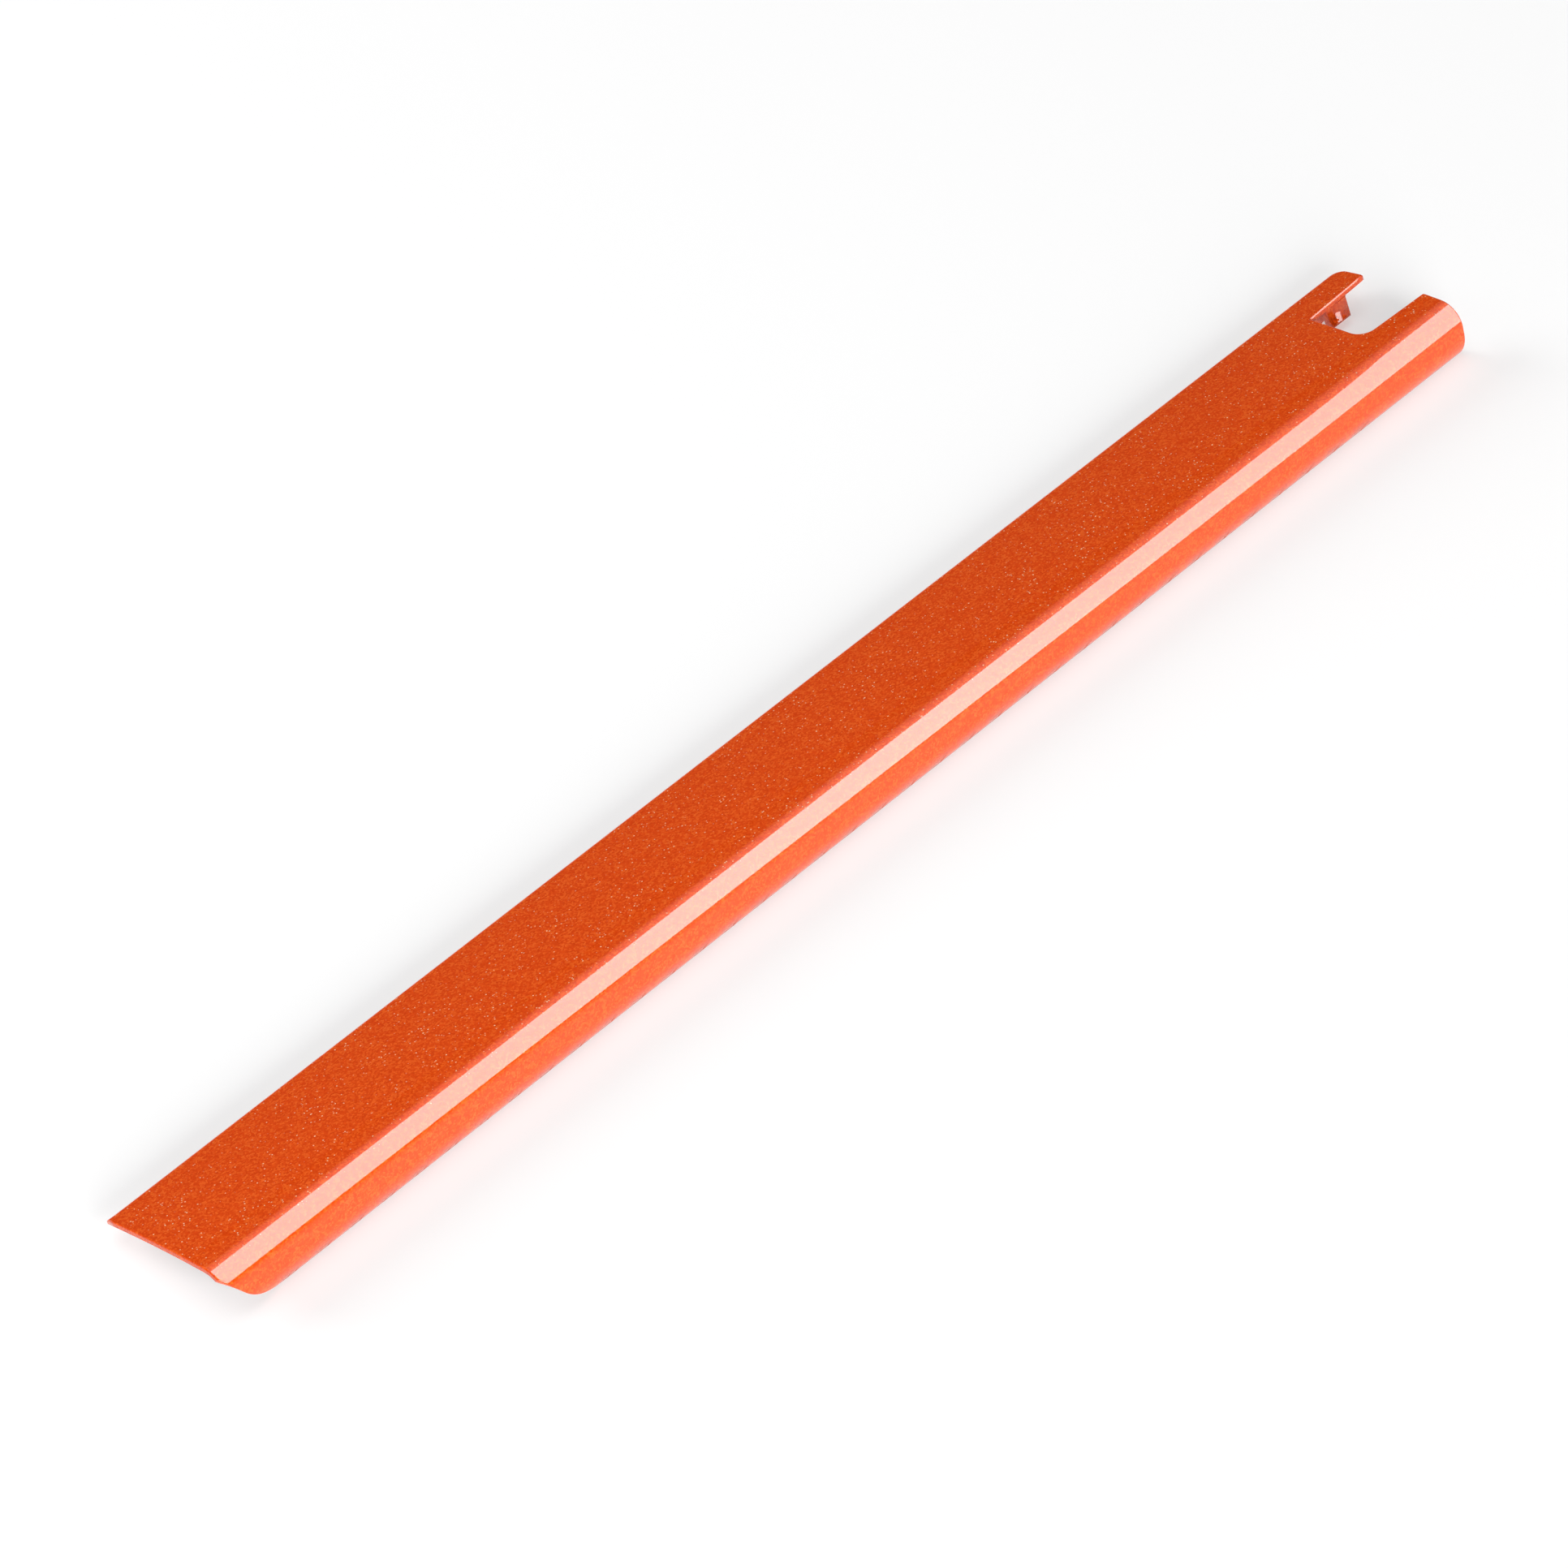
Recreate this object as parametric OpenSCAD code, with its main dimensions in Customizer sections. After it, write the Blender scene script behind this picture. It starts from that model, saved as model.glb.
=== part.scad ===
// Clipped trim cover strip: a crowned, painted moulding that rolls over along one long edge, with
// the hooks, spring clips, locating pins and soft tapes that hold it on a panel.
//
// Every piece is drawn in the strip's own frame: X runs from the raked end (0) to the notched end,
// Y is 0 at the plain edge and falls towards the rolled side, and Z is 0 at the top of the plain
// edge. laid() then lays the finished piece on its support plane, with the origin at the middle of
// the strip's footprint.

/* [Strip] */
// Length from the raked end to the notched end
strip_length = 500; // [360:5:900]
// Width from the plain edge to the rolled side
strip_width = 48; // [46:0.5:70]
// Thickness of the moulded wall
wall = 1.8; // [1.4:0.1:2.4]
// Radius of the crowned face
crown_radius = 400; // [250:10:1200]
// Distance from the rolled side to the crest of the face
crest_inset = 14; // [10:0.5:18]
// Radius along the top of the plain edge
edge_round = 1.3; // [0.5:0.1:1.3]

/* [Rolled side] */
// Outer radius of the bullnose between the face and the side wall
nose_radius = 7.3; // [5:0.1:9]
// Height of the flat stretch of the side wall
side_flat = 2.6; // [0.6:0.1:6]
// Outer radius of the curl at the foot of the side wall
curl_radius = 11; // [10:0.5:14]
// Angle through which the foot curls back in
curl_angle = 40; // [24:1:50]

/* [Raked end] */
// Angle of the side wall's end, away from square
rake_angle = 36; // [20:1:40]
// Radius that carries the raked end into the foot
rake_round = 18; // [10:1:22]
// Distance below the face's underside at which the rake starts
rake_drop = 0.1; // [0.1:0.1:2]

/* [Notched end] */
// Depth of the notch from the end of the strip
notch_depth = 25.8; // [16:0.1:40]
// Width of the notch at its closed end
notch_width = 21; // [8:0.5:22]
// Angle at which the rolled side of the notch opens towards the end
notch_flare = 2.5; // [0:0.5:4]
// Radius of the notch's corner on the rolled side
notch_round = 5; // [1:0.5:7]
// Width of the plain-edge arm at its root
arm_width = 11.5; // [10.8:0.1:13]
// Angle at which the plain-edge arm narrows towards its end
arm_taper = 3; // [0:0.5:4]
// How far the plain-edge arm ends short of the rolled side
arm_short = 0.6; // [0:0.1:2]
// Radius of the arm's outer corner
arm_round = 4; // [1:0.5:5]
// How far the arm's end falls back at the plain edge
arm_skew = 0.8; // [0:0.1:2]

/* [Hooks] */
// Length of each hook along the strip
hook_length = 8.5; // [6:0.5:10]
// Height of the hook plate below the face's underside
hook_height = 6.3; // [5:0.1:7]
// Thickness of the hook plate
hook_plate = 2.4; // [1.8:0.1:2.8]
// Angle at which the plate leans towards the notch
hook_lean = 7; // [0:1:9]
// How far the lip stands out from the plate
lip_reach = 1; // [0.6:0.1:1.4]
// Height of the lip along the plate's foot
lip_height = 1.3; // [0.8:0.1:1.8]
// Thickness of the webs behind the plate
web_thickness = 1.2; // [0.8:0.1:1.8]
// Depth of the webs from the plate's front face
web_depth = 7.2; // [6:0.1:7.4]
// Height of the webs below the face's underside
web_height = 7.4; // [6.4:0.1:8]
// Radius on the webs' rear foot, which the strip rests on
web_round = 0.8; // [0.4:0.1:1.2]
// Distance from each end of the plate to the nearest web
web_inset = 0.3; // [0:0.1:0.8]
// Gap from the end of the strip to the end hook
end_hook_inset = 9.6; // [6:0.1:12]
// Distance from the raked end to the first hook
near_hook_inset = 32; // [26:1:44]
// Distance from the notch's side to the end hook's plate
hook_setback = 0.1; // [0.1:0.1:0.8]

/* [Clip towers] */
// Distance from the plain edge to the row of towers and pins
tower_row = 22; // [20:0.5:25]
// Distance from the raked end, and from the notch, to the nearest tower
tower_inset = 62; // [50:1:70]
// Length of each blade along the strip
blade_length = 15; // [13:0.5:20]
// Thickness of each blade
blade_thickness = 2; // [1.6:0.1:2.4]
// Height of each blade below its foot
blade_height = 7; // [6:0.1:7.6]
// Thickness of the feet that are bonded to the face
foot_thickness = 1.2; // [0.8:0.1:1.6]
// Width of a tower's foot
foot_width = 9; // [7:0.5:11]
// Length of the nub that holds the clip on its blade
nub_length = 2; // [1.4:0.1:2.6]
// Height of the nub
nub_height = 1.2; // [0.8:0.1:1.4]
// How far each nub stands out of the blade
nub_reach = 0.55; // [0.4:0.05:0.6]

/* [Spring clips] */
// Length of each clip along the strip
clip_length = 9; // [8:0.5:10]
// Thickness of the spring steel
steel = 0.5; // [0.4:0.05:0.6]
// How far each clip floats either way along its blade
float_travel = 1.5; // [0.5:0.1:1.5]
// Angle of the clip's barbs away from its legs
barb_angle = 20; // [14:1:24]
// Length of each barb
barb_length = 3.6; // [3:0.1:3.8]
// Width of each barb along the strip
barb_width = 4.6; // [3.5:0.1:5]
// Length of the turned-in tip of each barb
barb_tip = 1.2; // [0.8:0.1:1.4]
// How far the top of each leg is turned out
flange_reach = 1.2; // [0.8:0.1:1.4]

/* [Locating pins] */
// Radius of each pin
pin_radius = 2; // [1.5:0.1:2.5]
// Height of each pin below its shoulder
pin_height = 5.6; // [4:0.1:6]
// Chamfer at the tip of each pin
tip_chamfer = 0.6; // [0.3:0.1:1]
// Radius of each pin's shoulder
shoulder_radius = 3.6; // [3.2:0.1:4.4]
// Height of the shoulder below the foot
shoulder_height = 1.6; // [1:0.1:2]
// Radius of each pin's foot
pin_foot_radius = 6; // [5:0.1:7]
// Distance from the notch to the datum pin
datum_inset = 24; // [16:1:30]
// Distance from the raked end to the guide pin
guide_inset = 27; // [24:1:34]
// Distance across the flats of the guide pin's shank
guide_flats = 2.6; // [2:0.1:3]

/* [Soft tapes] */
// Width of the foam seal under the plain edge
seal_width = 2; // [1.5:0.1:2.2]
// Thickness of the foam seal
seal_thickness = 1.8; // [1:0.1:2.5]
// Distance from the plain edge to the seal
seal_inset = 0.8; // [0.5:0.1:1]
// Thickness of the felt tape inside the curl
felt_thickness = 0.9; // [0.6:0.1:1.4]
// Angle of the curl that the felt tape covers
felt_angle = 28; // [12:1:30]
// Angle from the top of the curl to the felt tape
felt_start = 4; // [1:1:8]
// Distance from the notched end to both tapes
tape_inset = 9; // [7:0.5:14]

/* [Clearances] */
// Bond line between the face and what is bonded to it
bond_gap = 0.1; // [0.05:0.05:0.2]
// Running clearance between a clip and its blade
clip_gap = 0.2; // [0.15:0.05:0.3]

/* [Hidden] */

$fn = 96;
crown_facets = 1440;
edge_hooks = 4;
towers = 5;
// How far a cut runs past the surface that it cuts
past = 1;
// How far two tangent curves lap over each other, so that they join cleanly
weld = 0.002;

// Crown: the circle that the face lies on
crest_y = crest_inset - strip_width;
crest_z = crown_radius - edge_round
    - sqrt(pow(crown_radius - edge_round, 2) - pow(crest_y + edge_round, 2));
crown_z = crest_z - crown_radius;
under_radius = crown_radius - wall;
bond_radius = under_radius - bond_gap;

// Plain edge: a quarter round tangent to the crown and to the edge
edge_z = crown_z + sqrt(pow(crown_radius - edge_round, 2) - pow(crest_y + edge_round, 2));
edge_turn = atan2(edge_z - crown_z, -edge_round - crest_y);
edge_join = edge_round * (cos(edge_turn) - 1);

// Bullnose: tangent to the crown, with its side at the full width
nose_y = nose_radius - strip_width;
nose_z = crown_z + sqrt(pow(crown_radius - nose_radius, 2) - pow(nose_y - crest_y, 2));
nose_turn = atan2(nose_z - crown_z, nose_y - crest_y);
nose_join = nose_y + (nose_radius - wall / 2) * cos(nose_turn);

// Curl and the round end of its foot
curl_y = curl_radius - strip_width;
curl_z = nose_z - side_flat;
foot_round = wall / 2 + 2 * weld;
foot_y = curl_y - (curl_radius - wall / 2) * cos(curl_angle);
foot_z = curl_z - (curl_radius - wall / 2) * sin(curl_angle);
strip_bottom = foot_z - foot_round;

// Hooks
notch_x = strip_length - notch_depth;
end_hook_x = strip_length - end_hook_inset - hook_length / 2;
hook_front = tan(arm_taper) * (end_hook_x + hook_length / 2 - notch_x) - arm_width + hook_setback;
hook_pitch = (end_hook_x - near_hook_inset - hook_length / 2) / edge_hooks;
hook_top = under(hook_front);
rest_y = hook_front + web_depth - web_round;
rest_z = hook_top - web_height + web_round;
rest_round = web_round + weld;

// Lie of the strip: the angle at which the hooks' webs and the curled foot share one plane
rest_gap = norm([rest_y - foot_y, rest_z - foot_z]);
lie_angle = atan2(rest_z - foot_z, rest_y - foot_y) - asin((rest_round - foot_round) / rest_gap);
lie_height = rest_round - laid_z(rest_y, rest_z);
lie_front = laid_y(curl_y, curl_z) - curl_radius - weld;
lie_back = laid_y(-edge_round, edge_z) + edge_round + weld;

// Towers, clips and pins
tower_pitch = (notch_x - 2 * tower_inset) / (towers - 1);
foot_top = under(-tower_row);
foot_base = foot_top - foot_thickness;
blade_round = blade_thickness / 2;
blade_end = foot_base - blade_height + blade_round;
leg_inner = blade_round + clip_gap;
leg_outer = leg_inner + steel;
leg_top = foot_base - clip_gap;
barb_root = blade_end + steel;
window_length = nub_length + 2 * float_travel + 2 * clip_gap;
window_low = barb_root + steel;
window_high = leg_top - 2 * steel;
nub_z = (window_low + window_high) / 2;
foot_margin = 1;

// Height of the face's underside at a distance y across the strip
function under(y) = crown_z + sqrt(pow(under_radius, 2) - pow(y - crest_y, 2));

// A point of the section, seen in the laid frame
function laid_y(y, z) = y * cos(lie_angle) + z * sin(lie_angle);
function laid_z(y, z) = z * cos(lie_angle) - y * sin(lie_angle);

// Lays a piece on the support plane
module laid() {
    translate([-strip_length / 2, -(lie_front + lie_back) / 2, lie_height])
        rotate([-lie_angle, 0, 0])
            children();
}

// Extrudes a section, drawn as [y, z], along the strip from x = from to x = to
module along(from, to) {
    translate([from, 0, 0]) rotate([90, 0, 90]) linear_extrude(to - from) children();
}

// A band of a circle between two radii and two angles under 180 degrees apart
module band(centre, inner, outer, start, end) {
    mid = (start + end) / 2;
    reach = 2 * outer / cos((end - start) / 2);
    translate(centre) intersection() {
        difference() {
            circle(outer);
            circle(inner);
        }
        polygon([
            [0, 0],
            reach * [cos(start), sin(start)],
            reach * [cos(mid), sin(mid)],
            reach * [cos(end), sin(end)]
        ]);
    }
}

// Part of a disc about the crown's centre, from y = from to y = to and down to z = low
module crown_fill(radius, from, to, low) {
    intersection() {
        translate([crest_y, crown_z]) circle(radius, $fn = crown_facets);
        translate([from, low]) square([to - from, crest_z + past - low]);
    }
}

// Keeps what lies under the face, less the bond line
module bonded() {
    intersection() {
        children();
        translate([crest_y, crown_z]) circle(bond_radius, $fn = crown_facets);
    }
}

// Filled rolled side, drawn in by an inset: the bullnose, the flat side and the curl
module rolled_fill(inset) {
    translate([nose_y, nose_z]) circle(nose_radius - inset + weld);
    translate([inset - strip_width, curl_z - weld]) square([curl_radius, side_flat + weld]);
    intersection() {
        translate([curl_y, curl_z]) circle(curl_radius - inset + weld);
        translate([curl_y - curl_radius - past, curl_z - curl_radius - past])
            square([2 * (curl_radius + past), curl_radius + past + side_flat / 2]);
    }
}

// Filled plain edge
module edge_fill() {
    translate([-edge_round, edge_z]) circle(edge_round + weld);
    translate([-2 * edge_round, edge_z - wall]) square([2 * edge_round, wall]);
}

// Section of the strip: its filled outside, less its filled inside, and closed by a round foot
module cover_section() {
    reach = 2 * curl_radius;
    difference() {
        union() {
            crown_fill(crown_radius, nose_join, edge_join, curl_z);
            rolled_fill(0);
            edge_fill();
        }
        crown_fill(under_radius, nose_join, past, curl_z - curl_radius - 2 * past);
        rolled_fill(wall);
        translate([curl_y, curl_z]) polygon([
            [0, 0],
            [-reach * cos(curl_angle), -reach * sin(curl_angle)],
            [0, -reach]
        ]);
    }
    translate([foot_y, foot_z]) circle(foot_round);
}

// Waste beyond the raked end of the side wall, drawn as [x, z]
module rake_waste() {
    start_z = crest_z - wall - rake_drop;
    centre_z = strip_bottom + rake_round;
    centre_x = (rake_round - (centre_z - start_z) * sin(rake_angle)) / cos(rake_angle);
    difference() {
        polygon([
            [0, start_z],
            [-past, start_z],
            [-past, strip_bottom - past],
            [centre_x, strip_bottom - past],
            [centre_x, centre_z],
            [centre_x - rake_round * cos(rake_angle), centre_z - rake_round * sin(rake_angle)]
        ]);
        translate([centre_x, centre_z]) circle(rake_round + weld);
    }
}

// Notch, drawn as [x, y]
module notch_outline() {
    run = notch_depth + past;
    far_side = -arm_width - notch_width;
    centre = [
        notch_x + notch_round,
        far_side + notch_round * (1 - sin(notch_flare)) / cos(notch_flare)
    ];
    difference() {
        polygon([
            [notch_x, -arm_width],
            [notch_x + run, run * tan(arm_taper) - arm_width],
            [notch_x + run, far_side - run * tan(notch_flare)],
            [notch_x, far_side]
        ]);
        difference() {
            polygon([
                [notch_x - past, centre[1]],
                centre,
                centre - notch_round * [sin(notch_flare), cos(notch_flare)],
                [notch_x, far_side],
                [notch_x - past, far_side]
            ]);
            translate(centre) circle(notch_round + weld);
        }
    }
}

// Waste beyond the end of the plain-edge arm, drawn as [x, y]
module arm_waste() {
    arm_end = strip_length - arm_short;
    tip = arm_width - (arm_end - notch_x) * tan(arm_taper);
    skew = atan2(arm_skew, tip);
    centre = [arm_end - arm_skew - arm_round * (1 - sin(skew)) / cos(skew), -arm_round];
    difference() {
        polygon([
            [centre[0], past],
            [strip_length + past, past],
            [strip_length + past, -tip - past],
            [arm_end + past * tan(skew), -tip - past],
            centre + arm_round * [cos(skew), sin(skew)],
            centre
        ]);
        translate(centre) circle(arm_round + weld);
    }
}

module cover_shell() {
    color("#D84B14") laid() difference() {
        along(0, strip_length) cover_section();
        translate([0, crest_y, 0])
            rotate([90, 0, 0])
                linear_extrude(strip_width + crest_y + past)
                    rake_waste();
        translate([0, 0, strip_bottom]) linear_extrude(2 * crest_z - strip_bottom) {
            notch_outline();
            arm_waste();
        }
    }
}

// Plate of a hook with its lip, from the underside of the face downwards
module hook_plate_section() {
    bonded() translate([hook_front, hook_top]) polygon([
        [0, wall / 2],
        [0, 0],
        [-lean_at(hook_height - lip_height), lip_height - hook_height],
        [-lean_at(hook_height) - lip_reach, lip_height - hook_height],
        [-lean_at(hook_height) - lip_reach, lip_height / 3 - hook_height],
        [lip_height / 3 - lean_at(hook_height) - lip_reach, -hook_height],
        [hook_plate - lean_at(hook_height), -hook_height],
        [hook_plate, 0],
        [hook_plate, wall / 2]
    ]);
}

// How far the plate has leaned at a depth below the face
function lean_at(depth) = depth * tan(hook_lean);

// Web behind a hook's plate, relieved at 45 degrees beside the plate's foot
module hook_web_section() {
    relief = hook_height - web_thickness;
    bonded() difference() {
        translate([hook_front, hook_top]) union() {
            polygon([
                [hook_plate / 2, wall / 2],
                [hook_plate / 2 - lean_at(relief), -relief],
                [hook_plate - lean_at(relief), -relief],
                [hook_plate - lean_at(relief) + web_height - relief, -web_height],
                [web_depth - web_round, -web_height],
                [web_depth - web_round, web_round - web_height],
                [web_depth, web_round - web_height],
                [web_depth, wall / 2]
            ]);
            translate([web_depth - web_round, web_round - web_height]) circle(rest_round, $fn = 48);
        }
    }
}

module hook(x) {
    first = x - hook_length / 2;
    last = x + hook_length / 2;
    laid() union() {
        along(first, last) hook_plate_section();
        along(first + web_inset, first + web_inset + web_thickness) hook_web_section();
        along(last - web_inset - web_thickness, last - web_inset) hook_web_section();
        along(first + web_inset, last - web_inset) bonded()
            translate([hook_front + hook_plate / 2, hook_top - foot_thickness])
                square([web_depth - hook_plate / 2, foot_thickness + wall / 2]);
    }
}

module end_hook() {
    color("#D84B14") hook(end_hook_x);
}

module edge_hook(i) {
    color("#D84B14") hook(end_hook_x - (edge_hooks + 1 - i) * hook_pitch);
}

function tower_x(i) = tower_inset + (i - 1) * tower_pitch;

// Blade with its bonded foot and the nub that keeps the clip on
module clip_tower(i) {
    x = tower_x(i);
    color("#2B2B2E") laid() union() {
        along(x - blade_length / 2 - foot_margin, x + blade_length / 2 + foot_margin) bonded()
            translate([-tower_row - foot_width / 2, foot_base])
                square([foot_width, foot_thickness + wall / 2]);
        along(x - blade_length / 2, x + blade_length / 2) {
            translate([-tower_row - blade_round, blade_end])
                square([blade_thickness, foot_base - blade_end + foot_thickness / 2]);
            translate([-tower_row, blade_end]) circle(blade_round, $fn = 48);
        }
        translate([x - nub_length / 2, -tower_row - blade_round - nub_reach, nub_z - nub_height / 2])
            cube([nub_length, blade_thickness + 2 * nub_reach, nub_height]);
    }
}

// One leg of the clip with its flange, and half of the bend under the blade
module clip_half_section() {
    translate([leg_inner, blade_end]) square([steel, leg_top - blade_end]);
    translate([leg_inner, leg_top - steel]) square([flange_reach, steel]);
}

// Barb lanced out of a leg: a strip that leans out and turns back in at its tip
module barb_section() {
    tip = [
        leg_outer - steel + barb_length * sin(barb_angle),
        barb_root + barb_length * cos(barb_angle)
    ];
    translate([leg_outer - steel, barb_root]) rotate(-barb_angle) square([steel, barb_length]);
    translate(tip) rotate(barb_angle) square([steel, barb_tip]);
}

module both_sides() {
    children();
    mirror([1, 0]) children();
}

// Folded spring clip that hugs its blade and locks into a slot of the panel
module spring_clip(i) {
    x = tower_x(i);
    color("#9A9C9F") laid() union() {
        difference() {
            along(x - clip_length / 2, x + clip_length / 2) translate([-tower_row, 0]) {
                both_sides() clip_half_section();
                translate([0, blade_end]) difference() {
                    circle(leg_outer, $fn = 48);
                    circle(leg_inner, $fn = 48);
                    translate([-leg_outer - past, 0]) square(2 * (leg_outer + past));
                }
            }
            translate([x - window_length / 2, -tower_row - leg_outer - past, window_low])
                cube([window_length, 2 * (leg_outer + past), window_high - window_low]);
        }
        along(x - barb_width / 2, x + barb_width / 2)
            translate([-tower_row, 0]) both_sides() barb_section();
    }
}

// Foot and shoulder shared by the two locating pins
module pin_base(x) {
    intersection() {
        translate([x, -tower_row, foot_base])
            cylinder(h = foot_thickness + wall / 2, r = pin_foot_radius);
        along(x - 2 * pin_foot_radius, x + 2 * pin_foot_radius) bonded()
            translate([-tower_row - 2 * pin_foot_radius, foot_base - past])
                square([4 * pin_foot_radius, foot_thickness + wall + past]);
    }
    translate([x, -tower_row, foot_base - shoulder_height])
        cylinder(h = shoulder_height + foot_thickness / 2, r = shoulder_radius);
}

// Shank of a pin with a tapered tip, pointing down from the shoulder
module pin_shank(x) {
    shoulder_z = foot_base - shoulder_height;
    translate([x, -tower_row, shoulder_z - pin_height])
        cylinder(h = pin_height + shoulder_height / 2, r = pin_radius);
    translate([x, -tower_row, shoulder_z - pin_height - tip_chamfer])
        cylinder(h = tip_chamfer, r1 = pin_radius - tip_chamfer, r2 = pin_radius);
}

// Round pin that fixes the strip both ways
module datum_pin() {
    x = notch_x - datum_inset;
    color("#2B2B2E") laid() union() {
        pin_base(x);
        pin_shank(x);
    }
}

// Flatted pin that fixes the strip across and lets it slide along
module guide_pin() {
    x = guide_inset;
    shoulder_z = foot_base - shoulder_height;
    low = shoulder_z - pin_height - tip_chamfer - past;
    color("#2B2B2E") laid() difference() {
        union() {
            pin_base(x);
            pin_shank(x);
        }
        for (side = [-1, 1])
            translate([x + side * (guide_flats / 2 + pin_radius), -tower_row, (low + shoulder_z) / 2])
                cube([2 * pin_radius, 3 * pin_radius, shoulder_z - low], center = true);
    }
}

// Foam tape under the plain edge, square to the face there
module edge_seal() {
    middle = -seal_inset - seal_width / 2;
    slope = atan2(middle - crest_y, under(middle) - crown_z);
    color("#1D1D1F") laid() along(tape_inset / 2, strip_length - tape_inset)
        translate([middle, under(middle)]) rotate(-slope)
            translate([-seal_width / 2, -bond_gap - seal_thickness])
                square([seal_width, seal_thickness]);
}

// Felt tape inside the curl, where the panel's flange slides
module felt_strip() {
    outer = curl_radius - wall - bond_gap;
    start = 180 + felt_start;
    color("#3A3B3D") laid() along(rake_round + tape_inset, strip_length - tape_inset)
        band([curl_y, curl_z], outer - felt_thickness, outer, start, start + felt_angle);
}

cover_shell();
end_hook();
for (i = [1 : edge_hooks])
    edge_hook(i);
for (i = [1 : towers])
    clip_tower(i);
for (i = [1 : towers])
    spring_clip(i);
datum_pin();
guide_pin();
edge_seal();
felt_strip();
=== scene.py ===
"""Trim cover strip: painted face, hooks, clip towers, spring clips, locating pins and soft tapes."""

import math
from contextlib import contextmanager

import bmesh
import bpy
import numpy as np
from bpy.props import FloatProperty, FloatVectorProperty, IntProperty, PointerProperty
from mathutils import Matrix, Vector
from mathutils.geometry import delaunay_2d_cdt


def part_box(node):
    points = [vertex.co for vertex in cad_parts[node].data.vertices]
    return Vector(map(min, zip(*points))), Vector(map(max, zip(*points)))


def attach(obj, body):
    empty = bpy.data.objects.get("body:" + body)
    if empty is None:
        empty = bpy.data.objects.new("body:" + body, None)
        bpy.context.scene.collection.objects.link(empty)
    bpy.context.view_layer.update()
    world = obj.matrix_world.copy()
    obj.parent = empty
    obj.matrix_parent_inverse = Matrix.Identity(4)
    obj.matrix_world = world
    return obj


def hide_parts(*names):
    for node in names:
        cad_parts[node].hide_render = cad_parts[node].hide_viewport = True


bl_info = {
    "name": "Trim Cover Strip",
    "version": (1, 0, 0),
    "blender": (4, 5, 0),
    "location": "3D View > Sidebar > Trim Strip",
    "description": "Dresses a clipped trim cover strip with its painted face, hooks, clips, pins and tapes",
    "category": "Add Mesh",
}

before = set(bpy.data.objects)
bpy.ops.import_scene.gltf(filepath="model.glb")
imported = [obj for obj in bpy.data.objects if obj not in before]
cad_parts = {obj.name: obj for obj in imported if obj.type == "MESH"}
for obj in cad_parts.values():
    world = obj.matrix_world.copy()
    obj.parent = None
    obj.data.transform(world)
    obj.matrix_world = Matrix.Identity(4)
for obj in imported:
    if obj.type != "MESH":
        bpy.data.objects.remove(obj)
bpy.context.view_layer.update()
SHELL_LOW, SHELL_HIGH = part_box("cover_shell")
MM = 0.001
ROOT = "cover"
HOOKS = {"edge_hook_%d" % i: "plain_edge_hook_%d" % i for i in range(1, 5)} | {"end_hook": "notch_hook"}
TOWERS = {"clip_tower_%d" % i: "nylon_tower_%d" % i for i in range(1, 6)}
CLIPS = {"spring_clip_%d" % i: "steel_clip_%d" % i for i in range(1, 6)}

# the stage: places and sizes in metres, powers in watts
EYE = np.array((-1.0994, -1.20958, 1.57701))
RIGHT, UP, AHEAD = (0.69150, -0.71844, -0.07539), (0.53948, 0.44420, 0.71530), (0.48040, 0.53530, -0.69474)
LAMPS = (
    ("key_lamp", (-0.95, -2.6, 0.95), 1.8, 135.0),
    ("top_lamp", (0.0, 0.2, 2.4), 2.2, 25.0),
    ("back_lamp", (-1.2, 2.15, 1.05), 1.6, 62.0),
    ("under_lamp", (0.0, -0.2, -1.6), 2.4, 60.0),
)
FLOOR_RADIUS, FLOOR_SIDES, FLOOR_DROP = 4.0, 64, 0.0002
# where the strip light's image starts and ends round the bullnose: millimetres along, two angles in degrees and
# its strength
STRIP_LIGHT = (
    (-160, 108.0, 150.0, 0.84), (-15, 109.0, 151.2, 0.84), (40, 109.7, 152.3, 0.86), (120, 111.7, 154.2, 0.9),
    (200, 113.3, 157.1, 1.0), (280, 115.1, 160.1, 1.0), (360, 117.6, 163.1, 0.9), (440, 120.0, 163.9, 0.84),
    (456, 119.0, 163.9, 0.83), (470, 114.6, 163.9, 0.83), (515, 114.0, 164.0, 0.8), (680, 114.0, 164.0, 0.8),
)
CARD_DISTANCE, CARD_POWER, SPILL_SHARE = 1.6, 12.0, 0.16
GRID_OPEN, GRID_SHUT = 0.0007, 0.0035  # 1 - cos of 2 and of 5 degrees


def linear(hex_colour):
    """Turns an sRGB hex value into linear RGBA."""
    parts = [int(hex_colour[i : i + 2], 16) / 255 for i in (1, 3, 5)]
    return tuple(c / 12.92 if c <= 0.04045 else ((c + 0.055) / 1.055) ** 2.4 for c in parts) + (1.0,)


def length(name, description, default):
    """A length property whose default is given in millimetres."""
    return FloatProperty(name=name, description=description, default=default * MM, min=0, unit="LENGTH")


def angle(name, description, default):
    return FloatProperty(name=name, description=description, default=math.radians(default), subtype="ANGLE")


def colour(name, description, hex_colour):
    return FloatVectorProperty(
        name=name, description=description, default=linear(hex_colour), size=4, min=0, max=1, subtype="COLOR"
    )


# ---------------------------------------------------------------- sizes and colours


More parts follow.
